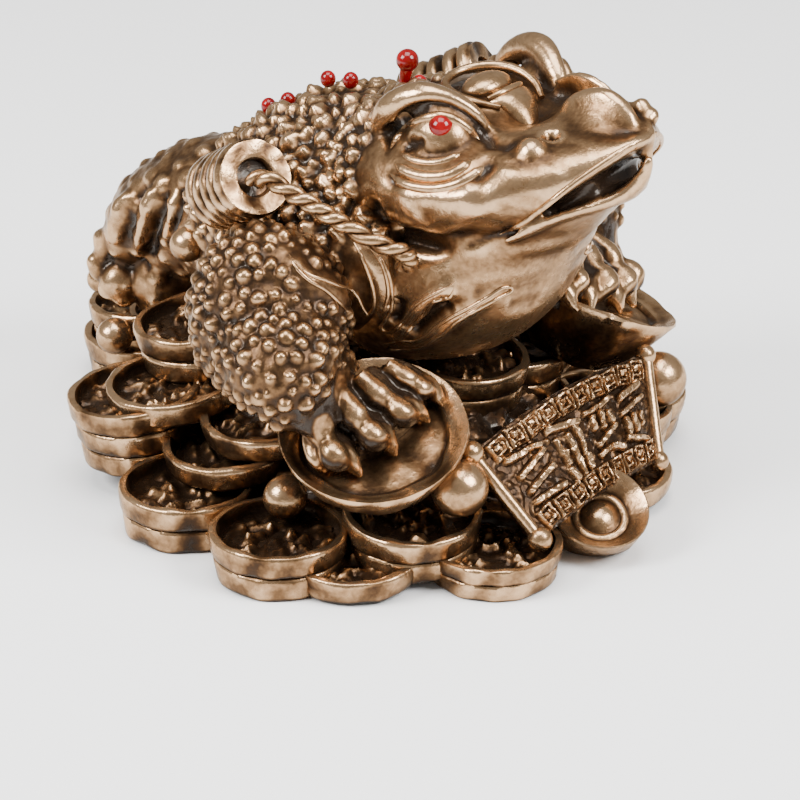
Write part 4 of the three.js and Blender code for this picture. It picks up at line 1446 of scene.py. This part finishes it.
def scroll():
    """The bowed sheet between two rods with knobs."""
    rods = []
    for end, size in SCROLL_KNOBS.items():
        top, foot = (Vector(SCROLL_CORNERS[f"{edge} {end}"]) for edge in ("top", "foot"))
        rods.append(tube([(*place, 0.85) for place in (top, (top + foot) / 2, foot)], sides=20, count=12))
        rods += [ellipsoid(place, (size, size, size), segments=24) for place in (top, foot)]
    for rod in rods:
        set_wash_and_shading(rod, 0.15)
    return join("scroll", [scroll_front(), scroll_back()] + rods)


# Middles of the red beads along the back, of the one on a stalk, and of those in the eyes.
BACK_BEADS = [(0, 18.9, 46.9), (0, 15.5, 48.5), (0, 8.5, 53.2), (0, 4.6, 53.9), (0, -6.9, 56.2)]
STALK_BEAD = (0, -4.9, 58.9)
STALK = [(0, -4.5, 53.5, 1.0), (0, -4.5, 56.2, 0.75), (0, -4.9, 58.2, 1.0)]
EYE_BEADS = [(-12.8, -20.5, 57.3), (13.4, -19.0, 56.4)]


def red_beads():
    beads = [ellipsoid(place, (1.05, 1.05, 1.15), segments=24) for place in BACK_BEADS]
    beads += [ellipsoid(STALK_BEAD, (1.5, 1.5, 1.5), segments=24), tube(STALK, sides=16, count=10)]
    beads += [ellipsoid(place, (1.65, 1.65, 1.65), segments=32) for place in EYE_BEADS]
    return join("red_studs", beads)


def settle(obj, material):
    """Moves a finished piece into the shared frame, inside the solid's box, and gives it its
    material."""
    low, high = (np.array(corner) for corner in cad_box)
    move_points(obj, np.clip((points_of(obj) - (0, ORIGIN_Y, 0)) * MM, low, high))
    obj.data.materials.clear()
    obj.data.materials.append(material)
    activate(obj)
    bpy.ops.object.shade_smooth_by_angle(angle=math.radians(50))
    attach(obj, "root")
    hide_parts("money_toad_figure")


# Studio

# Azimuth and elevation in degrees, width in metres and power in watts.
SOFTBOXES = {
    "left softbox": (-118, 40, 0.26, 5.4),
    "right softbox": (8, 42, 0.26, 5.0),
    "top softbox": (-60, 84, 0.4, 4.8),
}
SOFTBOX_DISTANCE = 0.6


def add_lights():
    world = bpy.data.worlds.new("studio")
    bpy.context.scene.world = world
    world.use_nodes = True
    background = world.node_tree.nodes["Background"]
    background.inputs["Color"].default_value = (1, 0.98, 0.95, 1)
    background.inputs["Strength"].default_value = 0.4
    for name, (azimuth, elevation, width, power) in SOFTBOXES.items():
        data = bpy.data.lights.new(name, "AREA")
        data.shape = "SQUARE"
        data.size = width
        data.energy = power
        light = bpy.data.objects.new(name, data)
        place = towards(azimuth, elevation) * SOFTBOX_DISTANCE
        light.matrix_world = Matrix.Translation(place) @ place.to_track_quat("Z", "Y").to_matrix().to_4x4()
        bpy.context.scene.collection.objects.link(light)


def add_floor():
    bpy.ops.object.select_all(action="DESELECT")
    bpy.ops.mesh.primitive_plane_add(size=6, location=(0, 0, 0))
    floor = bpy.context.view_layer.objects.active
    floor.name = "floor"
    material = bpy.data.materials.new("white_floor")
    material.use_nodes = True
    shader = material.node_tree.nodes["Principled BSDF"]
    shader.inputs["Base Color"].default_value = (0.93, 0.93, 0.93, 1)
    shader.inputs["Roughness"].default_value = 0.9
    floor.data.materials.append(material)


add_camera()
add_lights()
add_floor()
bronze = bronze_material(bronze_group())
toad = [head(), trunk(), foreleg(-1), foreleg(1)]
skins = [Skin(piece) for piece in toad]
edges = [part for pixels in BAND_EDGES for part in seams(skins, pixels, 0.3)]
toad[0] = join("toad_head", [toad[0]] + edges)
coins = heap()
strings = [coin_string(-1), coin_string(1), cord(-1), cord(1)]
fittings = [heap_core(), dish(-1), dish(1), pearls(), ingot()] + strings + [scroll()]
for piece in (*toad, coins, join("fittings", fittings)):
    settle(piece, bronze)
settle(red_beads(), enamel_material())
